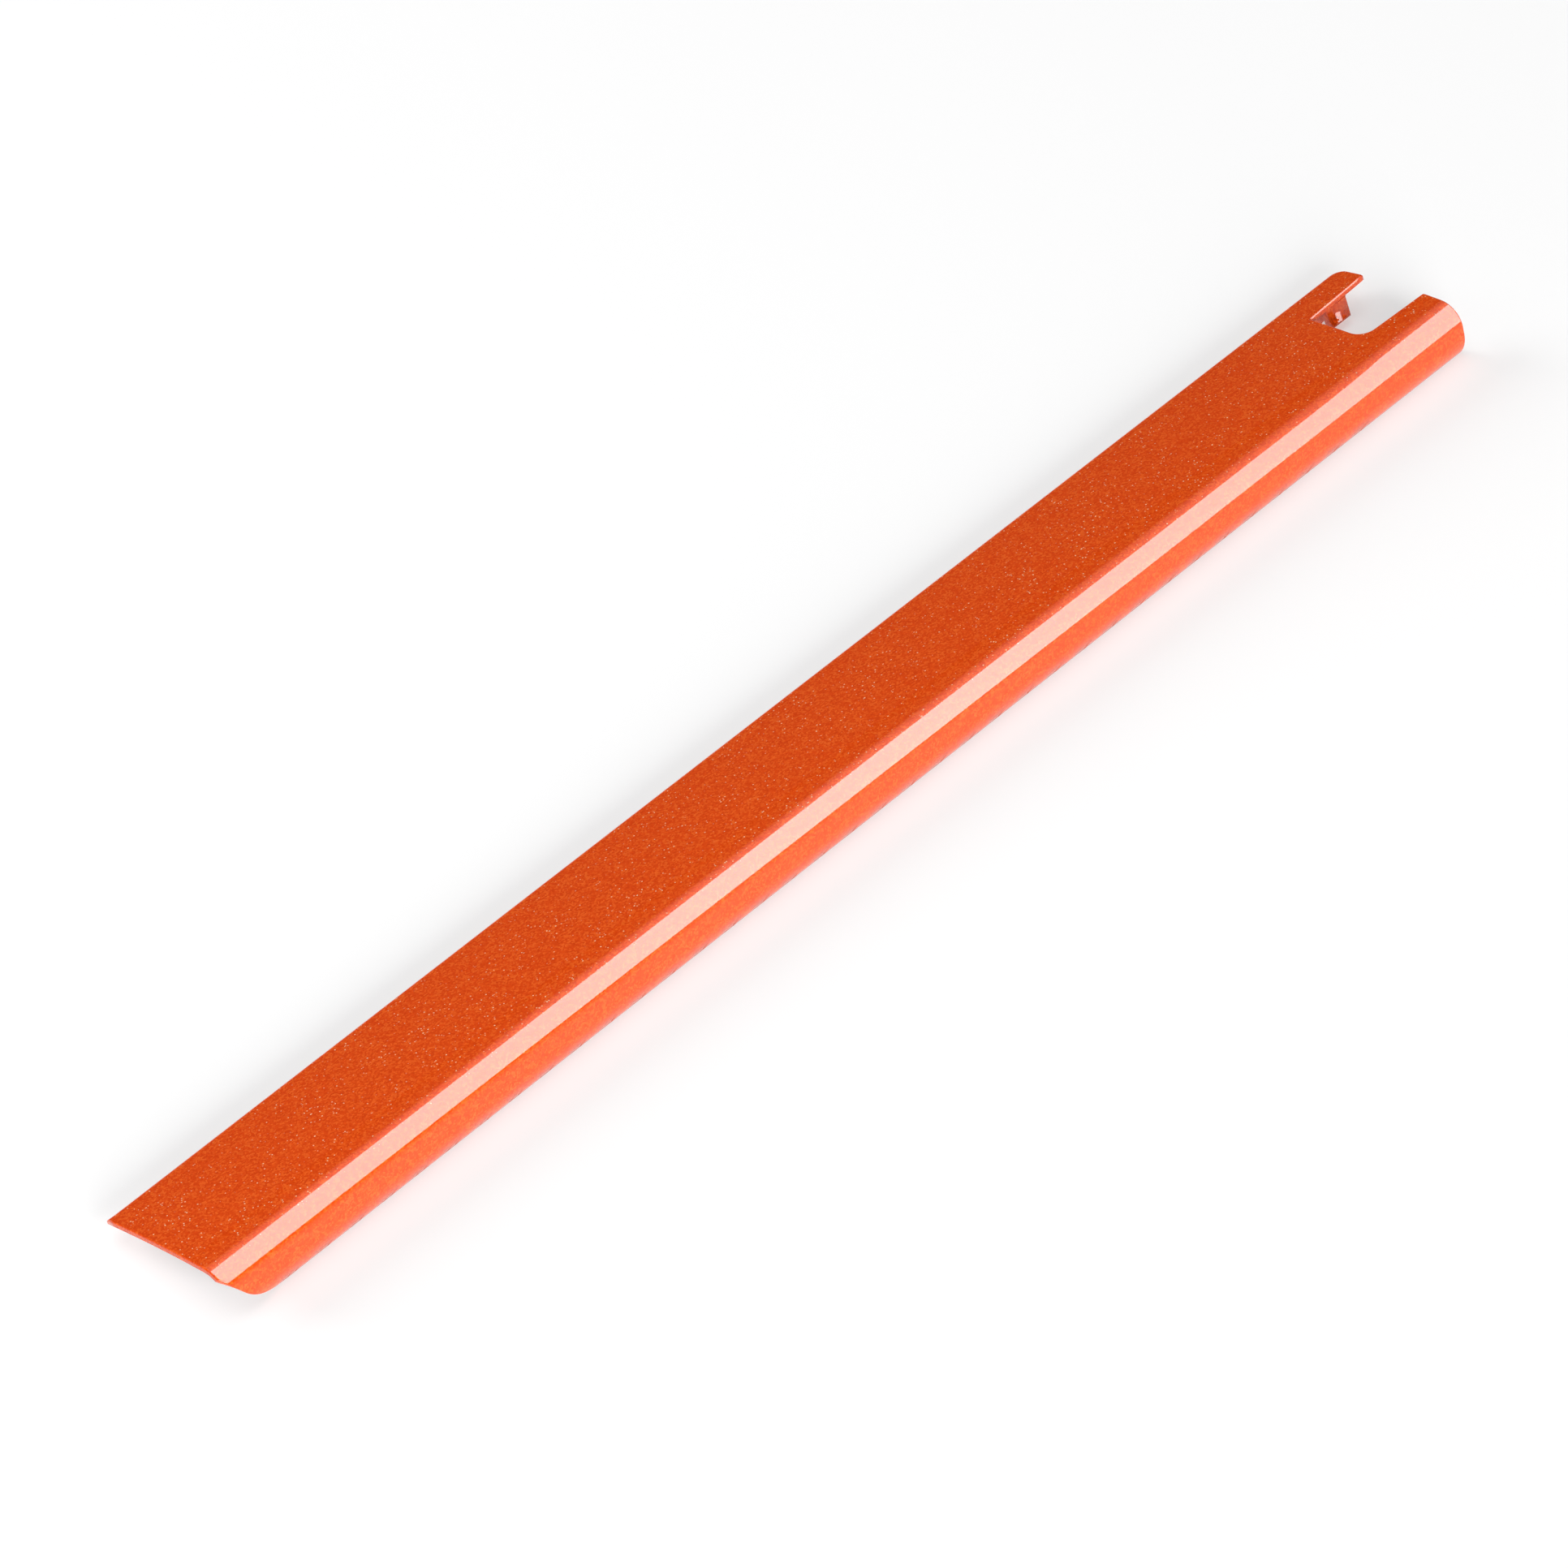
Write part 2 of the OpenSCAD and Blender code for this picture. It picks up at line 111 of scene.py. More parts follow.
class StripSizes(bpy.types.PropertyGroup):
    """Sizes of the painted face."""

    strip_length: length("Length", "From the raked end to the notched end", (SHELL_HIGH[0] - SHELL_LOW[0]) / MM)
    strip_width: length("Width", "From the plain edge to the rolled side", 48)
    wall: length("Wall", "Thickness of the moulded wall", 1.8)
    crown_radius: length("Crown radius", "Radius of the crowned face", 400)
    crest_inset: length("Crest inset", "From the rolled side to the crest of the face", 14)
    edge_round: length("Plain edge radius", "Radius along the top of the plain edge", 1.3)
    rim_round: length("Rim radius", "Radius on the outer rim of the ends and the notch", 0.5)
    inner_round: length("Inner rim radius", "Radius on the inner rim of the wall", 0.25)
    corner_round: length("Corner radius", "Radius of the outline's sharp corners", 0.5)
    nose_radius: length("Bullnose radius", "Outer radius between the face and the side", 7.3)
    side_flat: length("Side flat", "Height of the flat stretch of the side wall", 2.6)
    curl_radius: length("Curl radius", "Outer radius of the curl at the foot", 11)
    curl_angle: angle("Curl angle", "How far the foot curls back in", 40)
    rake_angle: angle("Rake angle", "Angle of the side wall's end, away from square", 36)
    rake_round: length("Rake radius", "Radius that carries the raked end into the foot", 18)
    rake_drop: length("Rake drop", "Distance below the underside at which the rake starts", 0.1)
    notch_depth: length("Notch depth", "Depth of the notch from the end", 25.8)
    notch_width: length("Notch width", "Width of the notch at its closed end", 21)
    notch_flare: angle("Notch flare", "Angle of the notch's rolled side", 2.5)
    notch_round: length("Notch radius", "Radius of the notch's corner on the rolled side", 5)
    arm_width: length("Arm width", "Width of the plain-edge arm at its root", 11.5)
    arm_taper: angle("Arm taper", "Angle at which the arm narrows", 3)
    arm_short: length("Arm setback", "How far the arm ends short of the rolled side", 0.6)
    arm_round: length("Arm radius", "Radius of the arm's outer corner", 4)
    arm_skew: length("Arm skew", "How far the arm's end falls back at the plain edge", 0.8)
    overspray: length("Overspray", "How far paint mist reaches onto the inside", 9)
    # painted shade: how far up from the foot the paint is darkened
    thin_paint: length("Thin paint", "How far up from the foot the paint is thin", 3.2)


class HookSizes(bpy.types.PropertyGroup):
    """Sizes of the moulded hooks."""

    hooks: IntProperty(name="Hooks", description="Number of hooks, the end hook included", default=5, min=2)
    hook_length: length("Hook length", "Length along the strip", 8.5)
    hook_height: length("Hook height", "Height of the plate below the face", 6.3)
    hook_plate: length("Plate thickness", "Thickness of the hook plate", 2.4)
    hook_lean: angle("Plate lean", "Lean of the plate towards the notch", 7)
    lip_reach: length("Lip reach", "How far the lip stands out from the plate", 1)
    lip_height: length("Lip height", "Height of the lip along the plate's foot", 1.3)
    web_thickness: length("Web thickness", "Thickness of the webs behind the plate", 1.2)
    web_depth: length("Web depth", "Depth of the webs from the plate's front", 7.2)
    web_height: length("Web height", "Height of the webs below the face", 7.4)
    web_round: length("Web foot radius", "Radius on the webs' rear foot", 0.8)
    web_inset: length("Web inset", "From each end of the plate to its web", 0.3)
    hook_bevel: length("Hook edge radius", "Radius of the hooks' moulded edges", 0.22)
    end_hook_inset: length("End hook inset", "From the notched end to the end hook", 9.6)
    near_hook_inset: length("First hook inset", "From the raked end to the first hook", 32)
    hook_setback: length("Hook setback", "From the notch's side to the hook plate", 0.1)


class TowerSizes(bpy.types.PropertyGroup):
    """Sizes of the clip towers, the spring clips and the locating pins."""

    towers: IntProperty(name="Towers", description="Number of towers and clips", default=5, min=2)
    tower_row: length("Tower row", "From the plain edge to the row of towers and pins", 22)
    tower_inset: length("Tower inset", "From each end of the face to its first tower", 62)
    blade_length: length("Blade length", "Length of each blade", 15)
    blade_thickness: length("Blade thickness", "Thickness of each blade", 2)
    blade_height: length("Blade height", "Height of each blade below its foot", 7)
    foot_thickness: length("Foot thickness", "Thickness of the bonded feet", 1.2)
    foot_width: length("Foot width", "Width of a tower's foot", 9)
    nub_length: length("Nub length", "Length of the nub that holds the clip", 2)
    nub_height: length("Nub height", "Height of the nub", 1.2)
    nub_reach: length("Nub reach", "How far the nub stands out", 0.55)
    clip_length: length("Clip length", "Length of each clip", 9)
    steel: length("Steel thickness", "Thickness of the spring steel", 0.5)
    float_travel: length("Clip float", "How far each clip floats either way", 1.5)
    barb_angle: angle("Barb angle", "Angle of the barbs away from the legs", 20)
    barb_length: length("Barb length", "Length of each barb", 3.6)
    barb_width: length("Barb width", "Width of each barb", 4.6)
    barb_tip: length("Barb tip", "Length of each barb's turned-in tip", 1.2)
    flange_reach: length("Flange reach", "How far the top of each leg is turned out", 1.2)
    clip_gap: length("Clip clearance", "Running clearance between clip and blade", 0.2)
    pin_radius: length("Pin radius", "Radius of each locating pin", 2)
    pin_height: length("Pin height", "Height of each pin below its shoulder", 5.6)
    tip_chamfer: length("Pin tip", "Chamfer at each pin's tip", 0.6)
    shoulder_radius: length("Shoulder radius", "Radius of each pin's shoulder", 3.6)
    shoulder_height: length("Shoulder height", "Height of each pin's shoulder", 1.6)
    pin_foot_radius: length("Pin foot radius", "Radius of each pin's foot", 6)
    datum_inset: length("Datum pin inset", "From the notch to the datum pin", 24)
    guide_inset: length("Guide pin inset", "From the raked end to the guide pin", 27)
    guide_flats: length("Guide pin flats", "Distance across the guide pin's flats", 2.6)
    moulded_edge: length("Moulded edge radius", "Radius of the moulded nylon's edges", 0.18)


class TapeSizes(bpy.types.PropertyGroup):
    """Sizes of the soft tapes."""

    seal_width: length("Seal width", "Width of the foam seal", 2)
    seal_thickness: length("Seal thickness", "Thickness of the foam seal", 1.8)
    seal_inset: length("Seal inset", "From the plain edge to the seal", 0.8)
    felt_thickness: length("Felt thickness", "Thickness of the felt tape", 0.9)
    felt_angle: angle("Felt angle", "Angle of the curl that the felt covers", 28)
    felt_start: angle("Felt start", "Angle from the top of the curl to the felt", 4)
    tape_inset: length("Tape inset", "From the notched end to both tapes", 9)
    bond_gap: length("Bond line", "Adhesive line between the face and what is bonded to it", 0.1)


class StripColours(bpy.types.PropertyGroup):
    """Colours of the strip's materials."""

    paint: colour("Paint", "Orange metallic basecoat", "#DC4A11")
    # painted shade: the dark orange brown that the paint turns along the foot
    paint_thin: colour("Paint, thin", "Basecoat that thins over the black moulding at the foot", "#7A2606")
    # painted shade and painted highlight: shaded and lit copies of the paint, given at random to the flake cells
    paint_deep: colour("Paint, deep", "Basecoat between its flakes", "#CE3F0A")
    paint_lit: colour("Paint, lit", "Basecoat over a flake that faces the light", "#EE6824")
    # painted highlight: the pale colour in which coarse flakes are drawn as glints
    glint: colour("Glint", "Coarse flake that lies near the lacquer's surface", "#FFE0B4")
    backing: colour("Backing", "Bare moulded plastic inside", "#26262A")
    nylon: colour("Nylon", "Glass-filled nylon of the towers and pins", "#222225")
    steel_coat: colour("Spring steel", "Zinc flake coating", "#A4A6A8")
    foam: colour("Foam", "Closed-cell foam seal", "#1B1B1D")
    felt: colour("Felt", "Non-woven felt tape", "#38393C")
    floor: colour("Floor", "Studio floor", "#B0B0B0")


# ---------------------------------------------------------------- the strip's own frame


class Strip:
    """The strip's section and places in millimetres: X along from the raked end, Y 0 at the plain edge
    and falling towards the rolled side, Z 0 at the top of the plain edge. lay() puts points in the row frame."""

    def __init__(self, scene):
        for group in (scene.strip_sizes, scene.hook_sizes, scene.tower_sizes, scene.tape_sizes):
            for key in group.__annotations__:
                value = getattr(group, key)
                prop = group.bl_rna.properties[key]
                setattr(self, key, value / MM if prop.unit == "LENGTH" else value)
        self.crest_y = self.crest_inset - self.strip_width
        lowered = self.crown_radius - self.edge_round
        self.crest_z = lowered - math.sqrt(lowered**2 - (self.crest_y + self.edge_round) ** 2)
        self.crown_z = self.crest_z - self.crown_radius
        self.nose_y = self.nose_radius - self.strip_width
        rise = math.sqrt((self.crown_radius - self.nose_radius) ** 2 - (self.nose_y - self.crest_y) ** 2)
        self.nose_z = self.crown_z + rise
        self.nose_turn = math.atan2(rise, self.nose_y - self.crest_y)
        self.curl_y = self.curl_radius - self.strip_width
        self.curl_z = self.nose_z - self.side_flat
        self.foot_round = self.wall / 2
        self.foot_y = self.curl_y - (self.curl_radius - self.wall / 2) * math.cos(self.curl_angle)
        self.foot_z = self.curl_z - (self.curl_radius - self.wall / 2) * math.sin(self.curl_angle)
        self.bottom = self.foot_z - self.foot_round
        self.notch_x = self.strip_length - self.notch_depth
        self.end_hook_x = self.strip_length - self.end_hook_inset - self.hook_length / 2
        reach = self.end_hook_x + self.hook_length / 2 - self.notch_x
        self.hook_front = math.tan(self.arm_taper) * reach - self.arm_width + self.hook_setback
        self.hook_first = self.near_hook_inset + self.hook_length / 2
        self.hook_pitch = (self.end_hook_x - self.hook_first) / (self.hooks - 1)
        self.hook_top = self.under(self.hook_front)
        rest_y = self.hook_front + self.web_depth - self.web_round
        rest_z = self.hook_top - self.web_height + self.web_round
        gap = math.hypot(rest_y - self.foot_y, rest_z - self.foot_z)
        self.tilt = math.atan2(rest_z - self.foot_z, rest_y - self.foot_y)
        self.tilt -= math.asin((self.web_round - self.foot_round) / gap)
        cos, sin = math.cos(self.tilt), math.sin(self.tilt)
        self.lift = self.web_round - (rest_z * cos - rest_y * sin)
        edge_z = self.crown_z + math.sqrt(lowered**2 - (self.crest_y + self.edge_round) ** 2)
        front = self.curl_y * cos + self.curl_z * sin - self.curl_radius
        back = -self.edge_round * cos + edge_z * sin + self.edge_round
        self.middle = (front + back) / 2
        self.tower_pitch = (self.notch_x - 2 * self.tower_inset) / (self.towers - 1)
        self.foot_base = self.under(-self.tower_row) - self.foot_thickness
        self.blade_round = self.blade_thickness / 2
        self.blade_end = self.foot_base - self.blade_height + self.blade_round
        # arc lengths at which the section changes, from the plain edge round to the foot
        self.start_turn = math.acos(-self.crest_y / self.crown_radius)
        self.end_turn = math.pi + self.curl_angle + self.foot_round / (self.curl_radius - self.wall / 2)
        self.s_nose = self.crown_radius * (self.nose_turn - self.start_turn)
        self.s_side = self.s_nose + self.nose_radius * (math.pi - self.nose_turn)
        self.s_curl = self.s_side + self.side_flat
        self.s_foot = self.s_curl + self.curl_radius * (self.end_turn - math.pi)

    def under(self, y):
        """Height of the face's underside."""
        return self.crown_z + math.sqrt((self.crown_radius - self.wall) ** 2 - (y - self.crest_y) ** 2)

    def section(self, s):
        """Outer surface at arc lengths s: positions and outward normals in Y and Z."""
        s = np.asarray(s, float)
        crown, nose = s < self.s_nose, (s >= self.s_nose) & (s < self.s_side)
        side, curl = (s >= self.s_side) & (s < self.s_curl), s >= self.s_curl
        turn = np.where(crown, self.start_turn + s / self.crown_radius, math.pi)
        turn = np.where(nose, self.nose_turn + (s - self.s_nose) / self.nose_radius, turn)
        turn = np.where(curl, math.pi + (s - self.s_curl) / self.curl_radius, turn)
        round_part = [crown, nose | side]
        radius = np.select(round_part, [self.crown_radius, self.nose_radius], self.curl_radius)
        y0 = np.select(round_part, [self.crest_y, self.nose_y], self.curl_y)
        z0 = np.select([crown, nose, side], [self.crown_z, self.nose_z, self.nose_z - (s - self.s_side)], self.curl_z)
        ny, nz = np.cos(turn), np.sin(turn)
        return y0 + radius * ny, z0 + radius * nz, ny, nz

    def along_crown(self, y):
        """Arc length of a point on the crowned face."""
        turn = np.arccos((np.asarray(y, float) - self.crest_y) / self.crown_radius)
        return self.crown_radius * (turn - self.start_turn)

    def lay(self, points):
        """Strip frame in millimetres to row frame in metres."""
        p = np.atleast_2d(np.asarray(points, float))
        cos, sin = math.cos(self.tilt), math.sin(self.tilt)
        x = p[:, 0] - self.strip_length / 2
        y = p[:, 1] * cos + p[:, 2] * sin - self.middle
        z = p[:, 2] * cos - p[:, 1] * sin + self.lift
        return np.stack([x, y, z], 1) * MM

    def turn(self, vectors):
        """Strip frame directions to row frame directions."""
        v = np.atleast_2d(np.asarray(vectors, float))
        cos, sin = math.cos(self.tilt), math.sin(self.tilt)
        return np.stack([v[:, 0], v[:, 1] * cos + v[:, 2] * sin, v[:, 2] * cos - v[:, 1] * sin], 1)

    def matrix(self):
        """The same placing as lay(), for meshes already in metres."""
        shift = Matrix.Translation((-self.strip_length / 2 * MM, -self.middle * MM, self.lift * MM))
        return shift @ Matrix.Rotation(-self.tilt, 4, "X")


# ---------------------------------------------------------------- mesh helpers


def new_object(name, mesh):
    obj = bpy.data.objects.new(name, mesh)
    bpy.context.scene.collection.objects.link(obj)
    return obj


def discard(*objects):
    """Removes helper objects with their meshes."""
    for obj in objects:
        mesh = obj.data
        bpy.data.objects.remove(obj)
        bpy.data.meshes.remove(mesh)


def mesh_from(name, verts, faces):
    mesh = bpy.data.meshes.new(name)
    mesh.from_pydata([tuple(v) for v in verts], [], [tuple(f) for f in faces])
    mesh.shade_smooth()
    mesh.update()
    return mesh


@contextmanager
def editing(mesh):
    """Opens a mesh as a bmesh and writes it back."""
    bm = bmesh.new()
    bm.from_mesh(mesh)
    yield bm
    bm.to_mesh(mesh)
    bm.free()


def turn_outward(mesh):
    """Turns a closed mesh's normals outward."""
    with editing(mesh) as bm:
        bmesh.ops.recalc_face_normals(bm, faces=bm.faces)


def solid(outline, low, high):
    """A closed mesh of one [y, z] outline, in millimetres, drawn from x = low to x = high."""
    count = len(outline)
    verts = [(x * MM, y * MM, z * MM) for x in (low, high) for y, z in outline]
    faces = [(i, (i + 1) % count, count + (i + 1) % count, count + i) for i in range(count)]
    faces += [range(count - 1, -1, -1), range(count, 2 * count)]
    mesh = mesh_from("solid", verts, faces)
    turn_outward(mesh)
    return mesh


def arc(centre, radius, start, end, steps):
    """Points of an arc; angles in degrees."""
    turns = [math.radians(start + (end - start) * i / steps) for i in range(steps + 1)]
    return [(centre[0] + radius * math.cos(turn), centre[1] + radius * math.sin(turn)) for turn in turns]


def apply_modifiers(obj):
    """Turns an object with its modifiers into a plain mesh object of the same name."""
    depsgraph = bpy.context.evaluated_depsgraph_get()
    mesh = bpy.data.meshes.new_from_object(obj.evaluated_get(depsgraph))
    obj.modifiers.clear()
    old = obj.data
    obj.data = mesh
    bpy.data.meshes.remove(old)
    return obj


def round_edges(obj, radius, corner, crease):
    """Bevels an object's corners above one angle and shades it smooth up to another; angles in degrees."""
    edges = obj.modifiers.new("edges", "BEVEL")
    edges.width, edges.segments = radius * MM, 2
    edges.limit_method, edges.angle_limit = "ANGLE", math.radians(corner)
    apply_modifiers(obj)
    obj.data.shade_smooth()
    obj.data.set_sharp_from_angle(angle=math.radians(crease))


def fuse(name, meshes, bevel):
    """Joins overlapping closed meshes into one solid and rounds its edges."""
    base = new_object(name, meshes[0])
    others = [new_object(name + "_part", m) for m in meshes[1:]]
    for other in others:
        union = base.modifiers.new("union", "BOOLEAN")
        union.operation, union.solver, union.object = "UNION", "EXACT", other
    apply_modifiers(base)
    discard(*others)
    with editing(base.data) as bm:
        bmesh.ops.remove_doubles(bm, verts=bm.verts, dist=0.004 * MM)
        bmesh.ops.dissolve_limit(bm, angle_limit=math.radians(0.5), verts=bm.verts, edges=bm.edges)
    round_edges(base, bevel, 35, 40)
    return base


# ---------------------------------------------------------------- node helpers


def node(tree, kind, inputs=None, **settings):
    """Adds a node, sets its settings, and gives each input its value or links it to the socket given."""
    made = tree.nodes.new(kind)
    for key, value in settings.items():
        setattr(made, key, value)
    for key, value in (inputs or {}).items():
        if isinstance(value, bpy.types.NodeSocket):
            tree.links.new(value, made.inputs[key])
        else:
            made.inputs[key].default_value = value
    return made


def calc(tree, operation, *inputs, kind="ShaderNodeMath"):
    """A math node of numbers and sockets."""
    return node(tree, kind, dict(enumerate(inputs)), operation=operation).outputs[0]


def vector_calc(tree, operation, *inputs):
    return calc(tree, operation, *inputs, kind="ShaderNodeVectorMath")


def noise(tree, place, scale, detail, roughness=0.5, distortion=0.0):
    inputs = {"Vector": place, "Scale": scale, "Detail": detail, "Roughness": roughness, "Distortion": distortion}
    return node(tree, "ShaderNodeTexNoise", inputs).outputs[0]


def cells(tree, place, scale):
    """Voronoi cells: their distances and random colours."""
    made = node(tree, "ShaderNodeTexVoronoi", {"Vector": place, "Scale": scale}).outputs
    return made["Distance"], made["Color"]


def ranged(tree, value, low, high, to_low=0.0, to_high=1.0, **settings):
    inputs = {"Value": value, "From Min": low, "From Max": high, "To Min": to_low, "To Max": to_high}
    return node(tree, "ShaderNodeMapRange", inputs, **settings).outputs[0]


def mixed(tree, share, first, second):
    """First colour where share is 0, second where it is 1."""
    return node(tree, "ShaderNodeMix", {0: share, 6: first, 7: second}, data_type="RGBA").outputs[2]


def bump(tree, height, strength, depth):
    """Relief of a height; depth in millimetres."""
    inputs = {"Height": height, "Strength": strength, "Distance": depth * MM}
    return node(tree, "ShaderNodeBump", inputs).outputs[0]


def shade(colour, factor=1.0):
    """A colour property as a tuple, darkened or lightened by a factor."""
    return tuple(c * factor for c in colour[:3]) + (1.0,)


def ramp(tree, source, stops):
    """A colour ramp from (position, colour) stops."""
    made = node(tree, "ShaderNodeValToRGB", {"Fac": source})
    elements = made.color_ramp.elements
    while len(elements) < len(stops):
        elements.new(0.5)
    for element, (position, value) in zip(elements, stops):
        element.position, element.color = position, value
    return made.outputs["Color"]


def attribute(tree, name):
    return node(tree, "ShaderNodeAttribute", attribute_name=name).outputs["Fac"]


def material(name):
    """An empty node material and its tree."""
    made = bpy.data.materials.new(name)
    made.use_nodes = True
    made.node_tree.nodes.clear()
    return made, made.node_tree


def textured(name):
    """An empty node material, its tree and the object coordinates that its textures use."""
    made, tree = material(name)
    return made, tree, node(tree, "ShaderNodeTexCoord").outputs["Object"]


def show(tree, shader):
    """Ends a material with its surface shader."""
    node(tree, "ShaderNodeOutputMaterial", {"Surface": shader})


def show_principled(tree, inputs):
    show(tree, node(tree, "ShaderNodeBsdfPrincipled", inputs).outputs[0])


def geometry_tree(name, sockets):
    """A geometry nodes tree with named inputs; gives the tree and the inputs' sockets."""
    tree = bpy.data.node_groups.new(name, "GeometryNodeTree")
    tree.is_modifier = True
    for label, kind in (("Geometry", "Geometry"), *sockets):
        tree.interface.new_socket(label, in_out="INPUT", socket_type="NodeSocket" + kind)
    tree.interface.new_socket("Geometry", in_out="OUTPUT", socket_type="NodeSocketGeometry")
    return tree, node(tree, "NodeGroupInput").outputs


def end_tree(tree, geometry, surface):
    """Ends a geometry nodes tree by making its instances real and giving them their material."""
    real = node(tree, "GeometryNodeRealizeInstances", {"Geometry": geometry}).outputs[0]
    painted = node(tree, "GeometryNodeSetMaterial", {"Geometry": real, "Material": surface}).outputs[0]
    node(tree, "NodeGroupOutput", {"Geometry": painted})


# ---------------------------------------------------------------- outline of the painted face


def rounded(points, index, radius, steps=5):
    """Replaces a sharp corner of an open outline by an arc."""
    p, q, r = (np.array(points[index + k], float) for k in (-1, 0, 1))
    a, b = (p - q) / np.linalg.norm(p - q), (r - q) / np.linalg.norm(r - q)
    half = math.acos(max(-1, min(1, float(a @ b)))) / 2
    reach = radius / math.tan(half)
    centre = q + (a + b) / np.linalg.norm(a + b) * radius / math.sin(half)
    start, end = q + a * reach - centre, q + b * reach - centre
    made = []
    for k in range(steps + 1):
        v = start * (1 - k / steps) + end * (k / steps)
        made.append(tuple(centre + v * radius / np.linalg.norm(v)))
    return list(points[:index]) + made + list(points[index + 1 :])


def far_end(strip):
    """Notched end of the face as (x, s) from the plain edge to the foot."""
    arm_end = strip.strip_length - strip.arm_short
    tip = strip.arm_width - (arm_end - strip.notch_x) * math.tan(strip.arm_taper)
    skew = math.atan2(strip.arm_skew, tip)
    centre_x = arm_end - strip.arm_skew - strip.arm_round * (1 - math.sin(skew)) / math.cos(skew)
    outline = arc((centre_x, -strip.arm_round), strip.arm_round, 90, math.degrees(skew), 14)
    tip_at = len(outline)
    outline.append((arm_end, -tip))
    outline.append((strip.notch_x, -strip.arm_width))
    far_side = -strip.arm_width - strip.notch_width
    flare = math.degrees(strip.notch_flare)
    corner_y = far_side + strip.notch_round * (1 - math.sin(strip.notch_flare)) / math.cos(strip.notch_flare)
    outline += arc((strip.notch_x + strip.notch_round, corner_y), strip.notch_round, 180, 270 - flare, 14)
    roll_tip = len(outline)
    outline.append((strip.strip_length, far_side - strip.notch_depth * math.tan(strip.notch_flare)))
    outline.append((strip.strip_length, far_side - 4))  # further down the end, so that the tip can be rounded
    outline = rounded(outline, roll_tip, strip.corner_round)
    outline = rounded(outline, tip_at, strip.corner_round)
    return [(x, float(strip.along_crown(y))) for x, y in outline]


def rake_x(strip, z):
    """X of the raked end at a height on the side wall."""
    start_z = strip.crest_z - strip.wall - strip.rake_drop
    centre_z = strip.bottom + strip.rake_round
    sin, cos = math.sin(strip.rake_angle), math.cos(strip.rake_angle)
    centre_x = (strip.rake_round - (centre_z - start_z) * sin) / cos
    z = np.clip(z, strip.bottom, None)
    straight = (start_z - z) * math.tan(strip.rake_angle)
    arc_x = centre_x - np.sqrt(np.clip(strip.rake_round**2 - (z - centre_z) ** 2, 0, None))
    x = np.where(z < centre_z - strip.rake_round * sin, arc_x, straight)
    return np.where(z > start_z, 0, x)


def near_end(strip):
    """Raked end of the face as (x, s) from the foot back to the plain edge."""
    last = strip.s_foot - strip.foot_round
    s = np.concatenate([
        np.linspace(strip.s_nose, strip.s_side, 40)[1:],
        np.linspace(strip.s_side, strip.s_curl, 6)[1:],
        np.linspace(strip.s_curl, last, 20)[1:],
    ])
    _, z, _, _ = strip.section(s)
    x = rake_x(strip, z)
    tail = np.linspace(0, 1, 7)[1:]
    tail_z = z[-1] + (strip.bottom - z[-1]) * np.sin(tail * math.pi / 2)
    s, x = np.concatenate([s, last + tail * strip.foot_round]), np.concatenate([x, rake_x(strip, tail_z)])
    keep = x > 0.02  # the rest lies on the square end of the face
    chain = [(0.0, 0.0), (0.0, float(s[~keep][-1]))] + list(zip(x[keep].tolist(), s[keep].tolist()))
    return chain[::-1]


def subdivided(points, step):
    """Adds points so that no segment of a closed outline is longer than a step, and long ones have one near
    each corner."""
    margin, short, long = 0.4, 0.9, 2.2
    made = []
    for p, q in zip(points, points[1:] + points[:1]):
        p, q = np.array(p), np.array(q)
        span = float(np.linalg.norm(q - p))
        made.append(p)
        if span > long:
            inner = span - 2 * margin
            cuts = max(1, int(math.ceil(inner / step)))
            made += [p + (q - p) * (margin + inner * k / cuts) / span for k in range(cuts)]
            made.append(p + (q - p) * (1 - margin / span))
        elif span > short:
            made.append((p + q) / 2)
    return np.array(made)


def inward(points):
    """Unit normals of a closed outline's segments, pointing into it."""
    after = np.roll(points, -1, 0)
    area = np.sum(points[:, 0] * after[:, 1] - after[:, 0] * points[:, 1])
    d = (after - points) / np.linalg.norm(after - points, axis=1)[:, None]
    return np.stack([-d[:, 1], d[:, 0]], 1) * (1 if area > 0 else -1)


def drawn_in(points, reach):
    """Moves each corner in so that every segment lies its own reach inside where it was."""
    normal = inward(points)
    before, back = np.roll(normal, 1, 0), np.roll(reach, 1)
    cross = before[:, 0] * normal[:, 1] - before[:, 1] * normal[:, 0]
    sharp = np.abs(cross) > 0.08  # a turn of 5 degrees or more gets a true mitre
    safe = np.where(sharp, cross, 1)
    mitred = np.stack([back * normal[:, 1] - reach * before[:, 1], reach * before[:, 0] - back * normal[:, 0]], 1)
    middle = (before + normal) * ((back + reach) / 2 / (1 + np.sum(before * normal, 1)))[:, None]
    return points + np.where(sharp[:, None], mitred / safe[:, None], middle)


def unfolded(points, radius):
    """Drops points that would fold over when the outline is drawn in by its rim radius."""
    while True:
        moved = drawn_in(points, radius(points))
        d, e = np.roll(points, -1, 0) - points, np.roll(moved, -1, 0) - moved
        bad = np.flatnonzero(np.sum(d * e, 1) < 0.15 * np.sum(d * d, 1))  # shrunk to under 15 %, or turned back
        if not len(bad):
            return points
        normal = inward(points)
        turn = 1 - np.sum(normal * np.roll(normal, 1, 0), 1)
        i, j = bad[0], (bad[0] + 1) % len(points)
        points = np.delete(points, i if turn[i] < turn[j] else j, 0)


